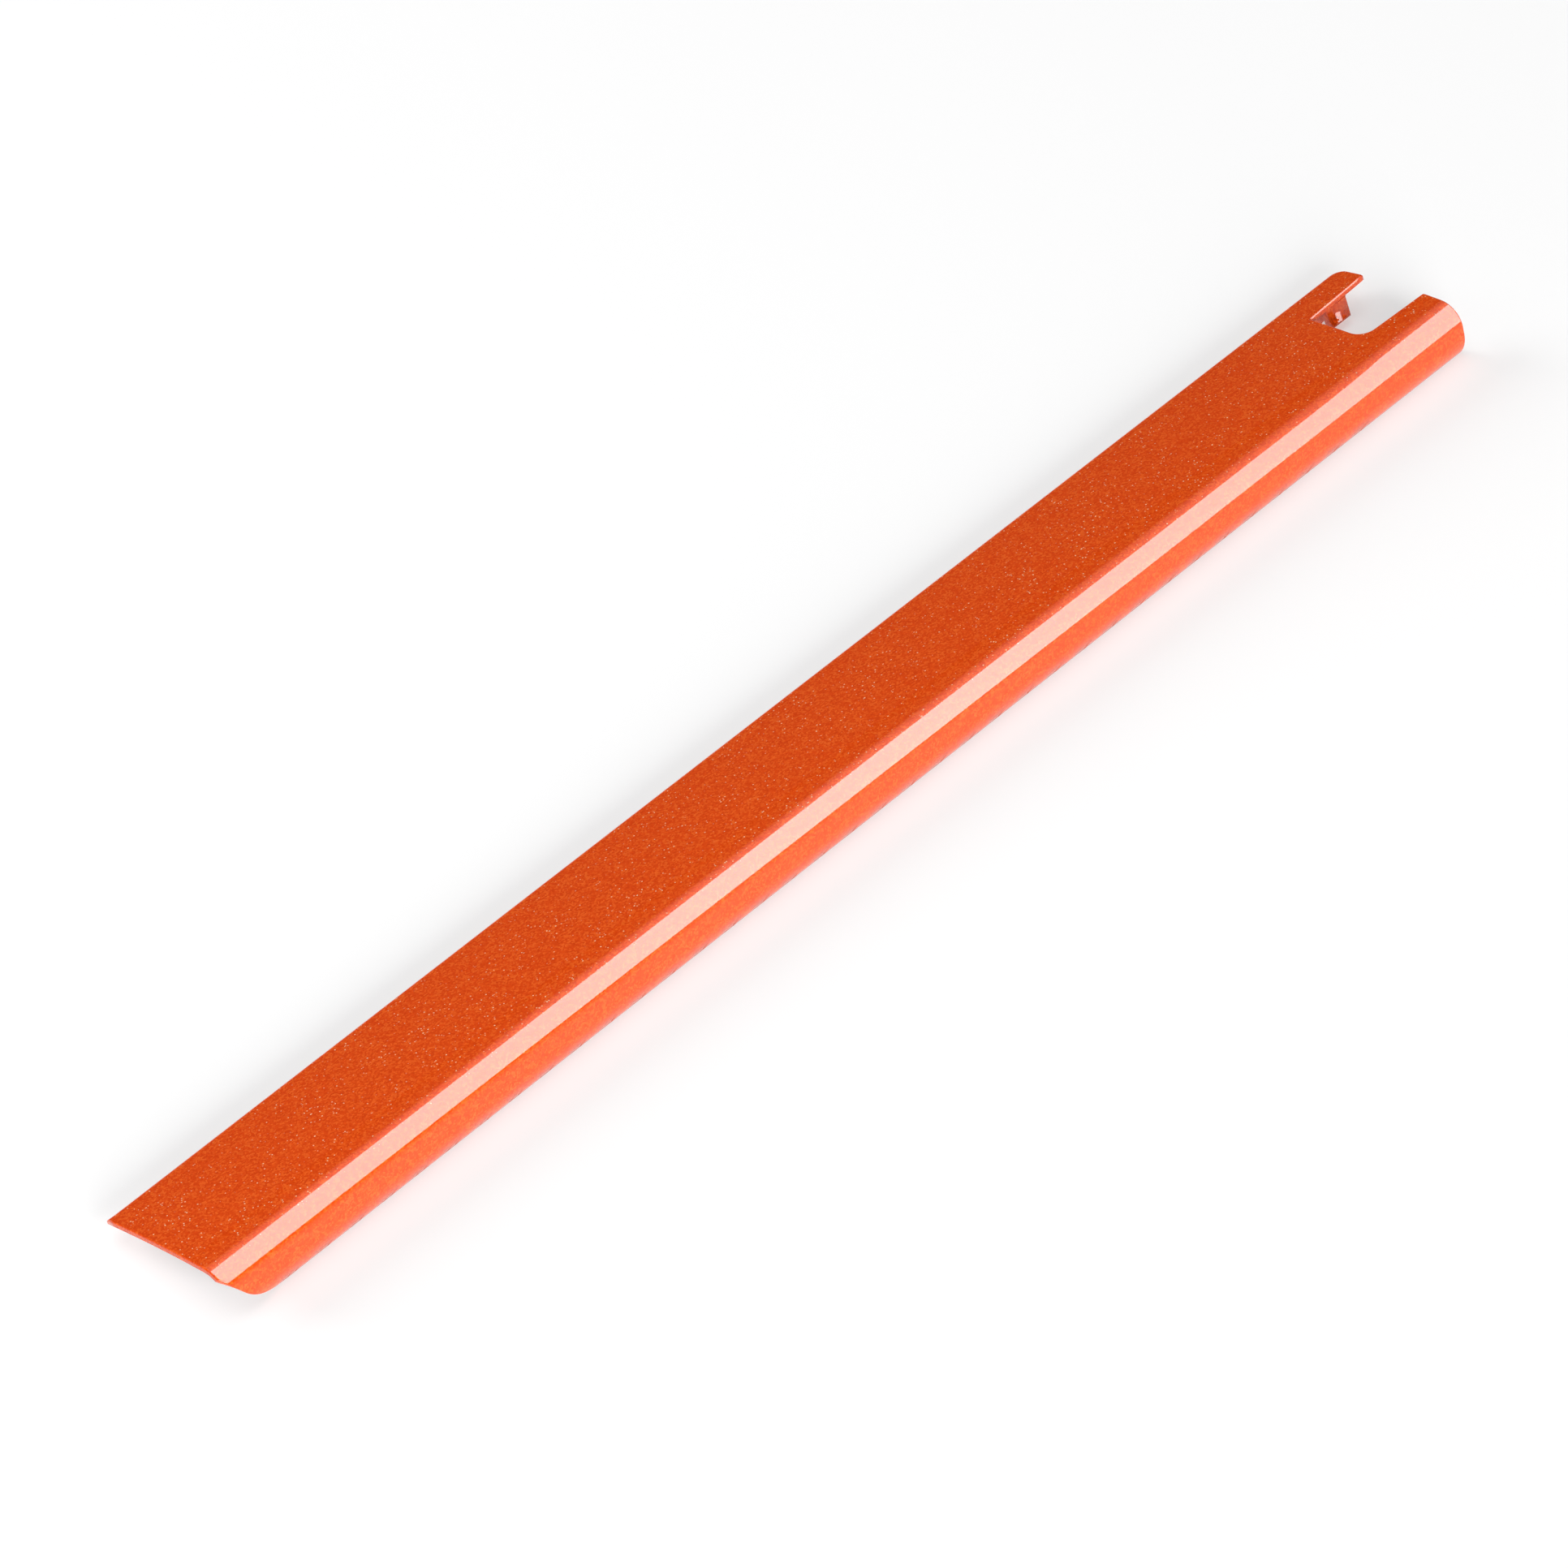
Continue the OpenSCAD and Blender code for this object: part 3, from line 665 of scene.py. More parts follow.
def distance_to(points, outline):
    """Distance from each point to a closed outline, and whether it is inside."""
    best = np.full(len(points), 1e9)
    inside = np.zeros(len(points), bool)
    nxt = np.roll(outline, -1, 0)
    for a, b in zip(outline, nxt):
        ab = b - a
        t = np.clip(((points - a) @ ab) / max(float(ab @ ab), 1e-12), 0, 1)
        best = np.minimum(best, np.linalg.norm(points - a - t[:, None] * ab, axis=1))
        crosses = (a[1] > points[:, 1]) != (b[1] > points[:, 1])
        with np.errstate(divide="ignore", invalid="ignore"):
            at = a[0] + (points[:, 1] - a[1]) * ab[0] / ab[1]
        inside ^= crosses & (points[:, 0] < at)
    return best, inside


def fill(loop, rows, columns, clear):
    """Triangulates the inside of a loop with a lattice of points kept clear of it."""
    lattice = np.array([(x, s) for s in rows for x in columns])
    near, inside = distance_to(lattice, loop)
    lattice = lattice[inside & (near > clear)]
    points = np.concatenate([loop, lattice])
    edges = [(i, (i + 1) % len(loop)) for i in range(len(loop))]
    coords, _, faces, origin, _, _ = delaunay_2d_cdt([Vector(p) for p in points], edges, [], 1, 1e-7)
    if len(coords) != len(points):
        raise RuntimeError("the face's outline crosses itself")
    order = [o[0] for o in origin]
    return points, [tuple(order[i] for i in f) for f in faces]


def rim_radii(strip, points):
    """Rim radius of each segment, which is softest along the plain edge and a full round at the foot, and how
    far each segment belongs to the foot."""
    soft_reach, at_end = 3.2, 0.01
    middle = (points + np.roll(points, -1, 0)) / 2
    soft = np.clip(1 - middle[:, 1] / soft_reach, 0, 1) * (middle[:, 0] > at_end)
    radius = strip.rim_round + (strip.edge_round - strip.rim_round) * soft
    foot = np.clip((middle[:, 1] - strip.s_foot + strip.foot_round) / strip.foot_round, 0, 1)
    foot *= middle[:, 0] < strip.strip_length - at_end
    return radius + (strip.foot_round - radius) * foot, foot


def rim_rings(strip, outline):
    """The rim as rings from the skin round to the inside: outline drawn in, depth under the skin, and turn."""
    outer, foot = rim_radii(strip, outline)
    inner = strip.inner_round + (strip.foot_round - strip.inner_round) * foot
    rings = []
    for reach, turns in ((outer, np.linspace(0, math.pi / 2, 6)), (inner, np.linspace(math.pi / 2, math.pi, 5))):
        at_point = (reach + np.roll(reach, 1)) / 2
        for turn in turns:
            depth = at_point * (1 - math.cos(turn)) if reach is outer else strip.wall - at_point * (1 + math.cos(turn))
            rings.append((drawn_in(outline, reach * (1 - math.sin(turn))), depth, turn))
    return rings


class PaintedFace(bpy.types.Operator):
    """Makes the moulded cover: a crowned face rolled into a curl, with its rounded rims"""

    bl_idname = "strip.painted_face"
    bl_label = "Painted face"

    def execute(self, context):
        strip = Strip(context.scene)
        end = [(strip.strip_length, float(s)) for s in np.linspace(strip.s_nose, strip.s_foot, 60)]
        outline = subdivided(far_end(strip) + end + near_end(strip), 3.0)
        outline = unfolded(outline, lambda points: rim_radii(strip, points)[0])
        rings = rim_rings(strip, outline)
        count = len(outline)
        away = -(inward(outline) + np.roll(inward(outline), 1, 0))
        away /= np.linalg.norm(away, axis=1)[:, None]
        verts, normals, mist, shaded, faces, kinds = [], [], [], [], [], []

        def put(flat, depth, turn, rim=None):
            """Adds points of the developed face; turn runs from 0 on the skin to pi on the inside."""
            y, z, ny, nz = strip.section(flat[:, 1])
            verts.extend(np.stack([flat[:, 0], y - ny * depth, z - nz * depth], 1))
            # share of painted shade: 1 at the foot, falling to 0 a set height up
            up_the_foot = strip.s_foot - flat[:, 1] - np.maximum(depth, 0)
            shaded.extend(np.clip(1 - up_the_foot / strip.thin_paint, 0, 1))
            normal = math.cos(turn) * np.stack([np.zeros_like(ny), ny, nz], 1)
            if rim is not None:
                normal += math.sin(turn) * np.stack([rim[:, 0], -nz * rim[:, 1], ny * rim[:, 1]], 1)
            normals.extend(normal)

        # the paint covers the rim, and its mist begins to fade at its inner edge
        inner_edge = 2.4
        for k, (flat, depth, turn) in enumerate(rings):
            put(flat, depth, turn, away)
            mist.extend([1.0 if turn < inner_edge else 0.9] * count)
            for i in range(count if k else 0):
                j = (i + 1) % count
                faces.append(((k - 1) * count + i, (k - 1) * count + j, k * count + j, k * count + i))
                kinds.append(0)
        # the skin and the inside, as lattices that are fine where the section turns
        rows = np.concatenate([
            np.linspace(2.2, strip.s_nose, 14),
            np.linspace(strip.s_nose, strip.s_side, 52)[1:],
            np.linspace(strip.s_side, strip.s_curl, 4)[1:],
            np.linspace(strip.s_curl, strip.s_foot, 30)[1:-1],
        ])
        ends = np.array([1.2, 3, 6, 10])
        middle = np.linspace(16, strip.notch_x - 14, 38)
        columns = np.concatenate([
            ends, middle, strip.notch_x - ends[::-1], strip.notch_x + ends, strip.strip_length - ends[::-1]
        ])
        for ring, turn, depth in ((0, 0.0, 0.0), (len(rings) - 1, math.pi, strip.wall)):
            flat, triangles = fill(rings[ring][0], rows, columns, clear=0.16)
            first, base = ring * count, len(verts) - count
            put(flat[count:], depth, turn)
            near, _ = distance_to(flat[count:], outline)
            reach = np.clip(1 - near / strip.overspray, 0, 1) ** 1.5
            mist.extend(reach.tolist() if ring else [1.0] * len(near))
            for triangle in triangles:
                faces.append([first + i if i < count else base + i for i in triangle])
                kinds.append(1 if ring else 0)
        laid = strip.lay(verts)
        laid[:, 2] = np.maximum(laid[:, 2], 0)  # the foot stands flat on its support plane
        mesh = mesh_from("cover_face", laid, faces)
        turn_outward(mesh)
        mesh.normals_split_custom_set_from_vertices([tuple(n) for n in strip.turn(normals)])
        for label, values in (("overspray", mist), ("thin_paint", shaded)):
            mesh.attributes.new(label, "FLOAT", "POINT").data.foreach_set("value", values)
        mesh.polygons.foreach_set("material_index", kinds)
        mesh.materials.append(orange_paint(context.scene.strip_colours))
        mesh.materials.append(bare_backing(context.scene.strip_colours))
        cover = new_object("cover_face", mesh)
        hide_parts("cover_shell")
        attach(cover, ROOT)
        return {"FINISHED"}


# ---------------------------------------------------------------- rows of like pieces


def row_tree(surface):
    """Geometry nodes that repeat a shape along the strip at a set pitch."""
    tree, given = geometry_tree(
        "Row along the strip", (("Shape", "Object"), ("Count", "Int"), ("First", "Float"), ("Pitch", "Float")))
    first = node(tree, "ShaderNodeCombineXYZ", {"X": given["First"]}).outputs[0]
    pitch = node(tree, "ShaderNodeCombineXYZ", {"X": given["Pitch"]}).outputs[0]
    line = node(tree, "GeometryNodeMeshLine", {"Count": given["Count"], "Start Location": first, "Offset": pitch},
                mode="OFFSET")
    shape = node(tree, "GeometryNodeObjectInfo", {"Object": given["Shape"]}, transform_space="ORIGINAL")
    placed = node(tree, "GeometryNodeInstanceOnPoints",
                  {"Points": line.outputs[0], "Instance": shape.outputs["Geometry"]})
    number = node(tree, "GeometryNodeInputIndex").outputs[0]
    marked = node(tree, "GeometryNodeStoreNamedAttribute",
                  {"Geometry": placed.outputs[0], "Name": "place", "Value": number}, data_type="INT", domain="INSTANCE")
    end_tree(tree, marked.outputs[0], surface)
    return tree


def run_nodes(obj, tree, values):
    """Runs a geometry nodes tree on an object, its inputs set by their sockets' identifiers."""
    modifier = obj.modifiers.new("nodes", "NODES")
    modifier.node_group = tree
    for item in tree.interface.items_tree:
        if item.item_type == "SOCKET" and item.in_out == "INPUT" and item.name in values:
            modifier[item.identifier] = values[item.name]
    apply_modifiers(obj)


def make_row(strip, pieces, shape, surface, first, pitch, bodies):
    """Repeats a shape along the strip and gives each CAD node its own dressed piece."""
    row = new_object("row", bpy.data.meshes.new("row"))
    run_nodes(row, row_tree(surface), {"Shape": shape, "Count": len(pieces), "First": first * MM, "Pitch": pitch * MM})
    place = np.zeros(len(row.data.vertices), int)
    row.data.attributes["place"].data.foreach_get("value", place)
    for index, (replaced, name) in enumerate(pieces.items()):
        mesh = row.data.copy()
        mesh.name = name
        with editing(mesh) as bm:
            bmesh.ops.delete(bm, geom=[v for v, spot in zip(bm.verts, place) if spot != index], context="VERTS")
        mesh.attributes.remove(mesh.attributes["place"])
        mesh.transform(strip.matrix())
        piece = new_object(name, mesh)
        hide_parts(replaced)
        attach(piece, bodies[index])
    discard(row, shape)


class MouldedHooks(bpy.types.Operator):
    """Makes the moulded hooks along the plain edge, the end hook among them"""

    bl_idname = "strip.moulded_hooks"
    bl_label = "Moulded hooks"

    def execute(self, context):
        strip = Strip(context.scene)
        lean = math.tan(strip.hook_lean)
        half, lip = strip.hook_length / 2, strip.lip_reach
        front, top = strip.hook_front, strip.hook_top
        roof, floor = top - strip.bond_gap, top - strip.hook_height
        foot = front - lean * strip.hook_height
        # plate: leans towards the notch and spreads down a slope into its lip
        shoulder = strip.lip_height + lip * 0.95
        toe_round = 0.42
        plate = [(front - 0.32, roof), (front + 0.02, roof - 0.34), (foot + lean * shoulder, floor + shoulder),
                 (foot - lip + 0.04, floor + 0.78)]
        plate += arc((foot - lip + toe_round, floor + toe_round), toe_round, 160, 262, 4)
        plate += [(foot + strip.hook_plate - 0.5, floor), (foot + strip.hook_plate, floor + 0.6),
                  (front + strip.hook_plate - lean, top - 1.0), (front + strip.hook_plate, roof)]
        # webs behind it, each with a relief cut under the plate
        core, back, low = front + strip.hook_plate / 2, front + strip.web_depth, top - strip.web_height
        relief = strip.hook_height - strip.web_thickness
        apex = (front + strip.hook_plate - lean * relief + 0.35, top - relief + 0.25)
        web = [(core, roof), (core - lean * relief, top - relief - 0.35), (apex[0] - 0.45, apex[1] - 0.45), apex,
               (apex[0] + apex[1] - low, low)]
        web += arc((back - strip.web_round, low + strip.web_round), strip.web_round, -90, 0, 5) + [(back, roof)]
        # tie: the foot that joins the webs under the face
        inner = half - strip.web_inset
        tie = [(core, roof), (core, top - strip.foot_thickness), (back - 0.05, top - strip.foot_thickness),
               (back - 0.05, roof - 0.01)]
        parts = [solid(plate, -half, half), solid(web, -inner, strip.web_thickness - inner),
                 solid(web, inner - strip.web_thickness, inner), solid(tie, 0.06 - inner, inner - 0.06)]
        shape = fuse("hook_shape", parts, strip.hook_bevel)
        # the lip's end towards the notch is trimmed round
        trim = 1.1
        for v in shape.data.vertices:
            past, out = v.co.x / MM - half + trim, foot - v.co.y / MM
            if out > -0.2 and past > 0:
                v.co.x -= past * min(1, max(0, out / lip)) * 0.85 * MM
        make_row(strip, HOOKS, shape, orange_paint(context.scene.strip_colours), strip.hook_first, strip.hook_pitch,
                 [ROOT] * len(HOOKS))
        return {"FINISHED"}


class ClipTowers(bpy.types.Operator):
    """Makes the nylon towers that carry the spring clips"""

    bl_idname = "strip.clip_towers"
    bl_label = "Clip towers"

    def execute(self, context):
        strip = Strip(context.scene)
        y0, base, wide = -strip.tower_row, strip.foot_base, strip.foot_width / 2
        half, foot_half = strip.blade_length / 2, strip.blade_length / 2 + 1
        across = [y0 + wide * k / 4 for k in range(4, -5, -1)]
        foot = [(y0 - wide, base), (y0 + wide, base)] + [(y, strip.under(y) - strip.bond_gap) for y in across]
        # half of the blade's section, from inside its foot down the fillet
        r, fillet = strip.blade_round, 0.5
        out = r + fillet
        side = [(out + 0.05, base + 0.3), (out + 0.05, base)]
        side += [(out - fillet * math.sin(a), base - fillet + fillet * math.cos(a)) for a in (0.4, 0.8, 1.2)]
        side.append((r, base - fillet))
        blade = [(y0 + y, z) for y, z in side] + arc((y0, strip.blade_end), r - 0.06, 0, -180, 10)
        blade += [(y0 - y, z) for y, z in side[::-1]]
        low, high = strip.blade_end + 2 * strip.steel, base - strip.clip_gap - 2 * strip.steel
        middle, nub, rise = (low + high) / 2, r + strip.nub_reach, strip.nub_height / 2
        side = [(nub, middle + rise), (nub, middle), (r - 0.1, middle - rise)]
        nubs = [(y0 - y, z) for y, z in side] + [(y0 + y, z) for y, z in side[::-1]]
        parts = [solid(foot, -foot_half, foot_half), solid(blade, -half, half),
                 solid(nubs, -strip.nub_length / 2, strip.nub_length / 2)]
        shape = fuse("tower_shape", parts, strip.moulded_edge)
        make_row(strip, TOWERS, shape, filled_nylon(context.scene.strip_colours), strip.tower_inset, strip.tower_pitch,
                 [ROOT] * len(TOWERS))
        return {"FINISHED"}


class SpringClips(bpy.types.Operator):
    """Makes the folded spring clips that float on the towers"""

    bl_idname = "strip.spring_clips"
    bl_label = "Spring clips"

    def execute(self, context):
        strip = Strip(context.scene)
        y0, half, steel = -strip.tower_row, strip.clip_length / 2, strip.steel
        leg = strip.blade_round + strip.clip_gap + steel / 2
        leg_top = strip.foot_base - strip.clip_gap
        low, high = strip.blade_end + 2 * steel, leg_top - 2 * steel
        bend, near = 0.45, 1e-6
        # middle line of one leg, from its flange down to the bend under the blade
        tip = leg - steel / 2 + strip.flange_reach
        line = [(tip, leg_top - steel / 2), (leg + bend + 0.1, leg_top - steel / 2)]
        line += arc((leg + bend, leg_top - steel / 2 - bend), bend, 90, 180, 4)
        line += [(leg, high), (leg, (high + low) / 2), (leg, low), (leg, strip.blade_end + 0.1)]
        line += arc((0, strip.blade_end), leg, 0, -90, 7)
        full = line + [(-y, z) for y, z in line[-2::-1]]
        # the sheet, with a window in each leg for the nub and the barb
        window = strip.nub_length / 2 + strip.float_travel + strip.clip_gap
        barb = strip.barb_width / 2
        cuts = [-half, -(half + window) / 2, -window, -barb, 0, barb, window, (half + window) / 2, half]
        mesh = bpy.data.meshes.new("clip_shape")
        with editing(mesh) as bm:
            grid = [[bm.verts.new((x * MM, (y0 + y) * MM, z * MM)) for x in cuts] for y, z in full]
            for i, (a, b) in enumerate(zip(full, full[1:])):
                straight = abs(abs(a[0]) - leg) < near and abs(abs(b[0]) - leg) < near
                for j in range(len(cuts) - 1):
                    if not (straight and low < (a[1] + b[1]) / 2 < high and 2 <= j <= 5):
                        bm.faces.new((grid[i][j], grid[i][j + 1], grid[i + 1][j + 1], grid[i + 1][j]))
            # the barbs, which turn out from the legs and in again at their tips, as steps and shares of their angle
            path = ((0.25, 0.4), (0.25, 0.8), (strip.barb_length - 1.1, 1), (0.2, 0.3), (0.2, -0.4),
                    (strip.barb_tip - 0.3, -1))
            for i, (y, z) in enumerate(full):
                if abs(z - low) > near or abs(abs(y) - leg) > near:
                    continue
                side, out, last = math.copysign(1, y), leg, grid[i][3:6]
                for step, share in path:
                    turn = share * strip.barb_angle
                    out, z = out + step * math.sin(turn), z + step * math.cos(turn)
                    row = [bm.verts.new((x * MM, (y0 + side * out) * MM, z * MM)) for x in (-barb, 0, barb)]
                    for k in range(2):
                        bm.faces.new((last[k], last[k + 1], row[k + 1], row[k]))
                    last = row
            bmesh.ops.delete(bm, geom=[v for v in bm.verts if not v.link_faces], context="VERTS")
            bmesh.ops.recalc_face_normals(bm, faces=bm.faces)
        shape = new_object("clip_shape", mesh)
        sheet = shape.modifiers.new("sheet", "SOLIDIFY")
        sheet.thickness, sheet.offset, sheet.use_even_offset = steel * MM, 0, True
        round_edges(shape, 0.07, 50, 42)
        make_row(strip, CLIPS, shape, coated_steel(context.scene.strip_colours), strip.tower_inset, strip.tower_pitch,
                 ["clip_%d" % (i + 1) for i in range(len(CLIPS))])
        return {"FINISHED"}


def turned(profile, flat=None):
    """A solid of revolution about Z from an [r, z] profile in millimetres, cut to two flats if one is given."""
    steps, verts, faces, rings = 64, [], [], []
    for r, z in profile:
        spots = steps if r else 1
        rings.append([len(verts) + k % spots for k in range(steps)])
        turns = [math.tau * k / steps for k in range(spots)]
        verts += [(r * math.cos(turn) * MM, r * math.sin(turn) * MM, z * MM) for turn in turns]
    for a, b in zip(rings, rings[1:]):
        for k in range(steps):
            after = (k + 1) % steps
            faces.append(list(dict.fromkeys((a[k], a[after], b[after], b[k]))))
    mesh = mesh_from("part", verts, faces)
    with editing(mesh) as bm:
        for side in (-1, 1) if flat else ():
            cut = bmesh.ops.bisect_plane(bm, geom=bm.verts[:] + bm.edges[:] + bm.faces[:], dist=1e-7,
                                         plane_co=(side * flat * MM, 0, 0), plane_no=(side, 0, 0), clear_outer=True)
            rim = [e for e in cut["geom_cut"] if isinstance(e, bmesh.types.BMEdge)]
            bmesh.ops.holes_fill(bm, edges=rim, sides=0)
        bmesh.ops.recalc_face_normals(bm, faces=bm.faces)
    return mesh


class LocatingPins(bpy.types.Operator):
    """Makes the round datum pin and the flatted guide pin"""

    bl_idname = "strip.locating_pins"
    bl_label = "Locating pins"

    def execute(self, context):
        strip = Strip(context.scene)
        base, r, wide, neck = strip.foot_base, strip.pin_radius, strip.pin_foot_radius, strip.shoulder_radius
        shoulder = base - strip.shoulder_height
        tip = shoulder - strip.pin_height
        top = strip.under(-strip.tower_row - wide) - strip.bond_gap
        edge, fillet, tip_round, chamfer = 0.2, 0.4, 0.35, strip.tip_chamfer
        foot = [(0, top), (wide - edge, top), (wide, top - edge), (wide, base + edge), (wide - edge, base),
                (neck + fillet, base)]
        foot += arc((neck + fillet, base - fillet), fillet, 90, 180, 4)[1:]
        foot += [(neck, shoulder + edge), (neck - edge, shoulder), (0, shoulder)]
        shank = [(0, shoulder + 0.5), (r, shoulder + 0.5), (r, tip + 0.1)]
        shank += arc((r - tip_round, tip), tip_round, 15, -40, 3)
        shank += [(r - chamfer, tip - chamfer + 0.12), (r - chamfer - 0.18, tip - chamfer), (0, tip - chamfer)]
        for name, x, flat in (("datum_pin", strip.notch_x - strip.datum_inset, None),
                              ("guide_pin", strip.guide_inset, strip.guide_flats / 2)):
            mesh = bpy.data.meshes.new("nylon_" + name)
            with editing(mesh) as bm:
                for part in (turned(foot), turned(shank, flat)):
                    bm.from_mesh(part)
                    bpy.data.meshes.remove(part)
                bmesh.ops.translate(bm, verts=bm.verts, vec=(x * MM, -strip.tower_row * MM, 0))
            mesh.shade_smooth()
            mesh.set_sharp_from_angle(angle=math.radians(30))
            mesh.transform(strip.matrix())
            mesh.materials.append(filled_nylon(context.scene.strip_colours))
            pin = new_object("nylon_" + name, mesh)
            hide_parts(name)
            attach(pin, ROOT)
        return {"FINISHED"}


# ---------------------------------------------------------------- soft tapes


def tape_tree(surface):
    """Geometry nodes that roughen a tape's skin by a small random height."""
    tree, given = geometry_tree("Soft skin", (("Height", "Float"), ("Scale", "Float"), ("Seed", "Float")))
    grain = node(tree, "ShaderNodeTexNoise", {"Scale": given["Scale"], "W": given["Seed"], "Detail": 2.0},
                 noise_dimensions="4D").outputs[0]
    height = calc(tree, "MULTIPLY", calc(tree, "SUBTRACT", grain, 1.0), given["Height"])
    normal = node(tree, "GeometryNodeInputNormal").outputs[0]
    push = node(tree, "ShaderNodeVectorMath", {0: normal, "Scale": height}, operation="SCALE").outputs[0]
    moved = node(tree, "GeometryNodeSetPosition", {"Geometry": given["Geometry"], "Offset": push}).outputs[0]
    end_tree(tree, moved, surface)
    return tree


def make_tape(strip, name, outline, low, high, surface, skin, replaced):
    """Draws a tape along the strip and gives it a soft skin."""
    step, end = 1.6, 0.25
    stations = np.linspace(low, high, int((high - low) / step) + 1)
    stations = np.concatenate([[low], [low + end], stations[1:-1], [high - end], [high]])
    centre = np.mean(outline, 0)
    verts = []
    for x in stations:
        shrink = 0.88 if x in (low, high) else 1.0
        verts += [(x, *(centre + (np.array(p) - centre) * shrink)) for p in outline]
    count = len(outline)
    faces = [
        (k * count + i, k * count + (i + 1) % count, (k + 1) * count + (i + 1) % count, (k + 1) * count + i)
        for k in range(len(stations) - 1) for i in range(count)
    ]
    faces += [range(count - 1, -1, -1), range(len(verts) - count, len(verts))]
    mesh = mesh_from(name, strip.lay(verts), faces)
    turn_outward(mesh)
    tape = new_object(name, mesh)
    run_nodes(tape, tape_tree(surface), skin)
    tape.data.set_sharp_from_angle(angle=math.radians(60))
    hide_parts(replaced)
    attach(tape, ROOT)


class SoftTapes(bpy.types.Operator):
    """Makes the foam seal under the plain edge and the felt tape inside the curl"""

    bl_idname = "strip.soft_tapes"
    bl_label = "Soft tapes"

    def execute(self, context):
        strip = Strip(context.scene)
        colours = context.scene.strip_colours
        # the seal is a flat bar, tight at its glued face and soft below, laid along the underside's slope
        middle = -strip.seal_inset - strip.seal_width / 2
        w, t, tight, soft = strip.seal_width / 2, strip.seal_thickness, 0.1, 0.35
        flat = arc((w - tight, -tight), tight, 0, 90, 4) + arc((tight - w, -tight), tight, 90, 180, 4)
        flat += arc((soft - w, soft - t), soft, 180, 270, 4) + arc((w - soft, soft - t), soft, 270, 360, 4)
        z0 = strip.under(middle)
        slope = math.atan2(middle - strip.crest_y, z0 - strip.crown_z)
        cos, sin = math.cos(-slope), math.sin(-slope)
        seal = [(middle + y * cos - (z - strip.bond_gap) * sin, z0 + y * sin + (z - strip.bond_gap) * cos)
                for y, z in flat]
        end = strip.strip_length - strip.tape_inset
        skin = {"Height": 0.08 * MM, "Scale": 900.0, "Seed": 3.0}
        make_tape(strip, "foam_edge_seal", seal, strip.tape_inset / 2, end, closed_cell_foam(colours), skin,
                  "edge_seal")
        # the felt follows the inside of the curl, its long edges rounded off
        outer, thick = strip.curl_radius - strip.wall - strip.bond_gap, strip.felt_thickness
        start, sweep = 180 + math.degrees(strip.felt_start), math.degrees(strip.felt_angle)
        centre, stop, side = (strip.curl_y, strip.curl_z), start + sweep, outer - thick * 0.55
        felt = arc(centre, outer, start, stop, 10) + arc(centre, side, stop + 0.6, stop + 0.6, 1)[:1]
        felt += arc(centre, outer - thick, stop - 1.2, start + 1.2, 9)
        felt += arc(centre, side, start - 0.6, start - 0.6, 1)[:1]
        skin = {"Height": 0.22 * MM, "Scale": 1400.0, "Seed": 7.0}
        make_tape(strip, "felt_curl_tape", felt, strip.rake_round + strip.tape_inset, end, needled_felt(colours), skin,
                  "felt_strip")
        return {"FINISHED"}


# ---------------------------------------------------------------- materials


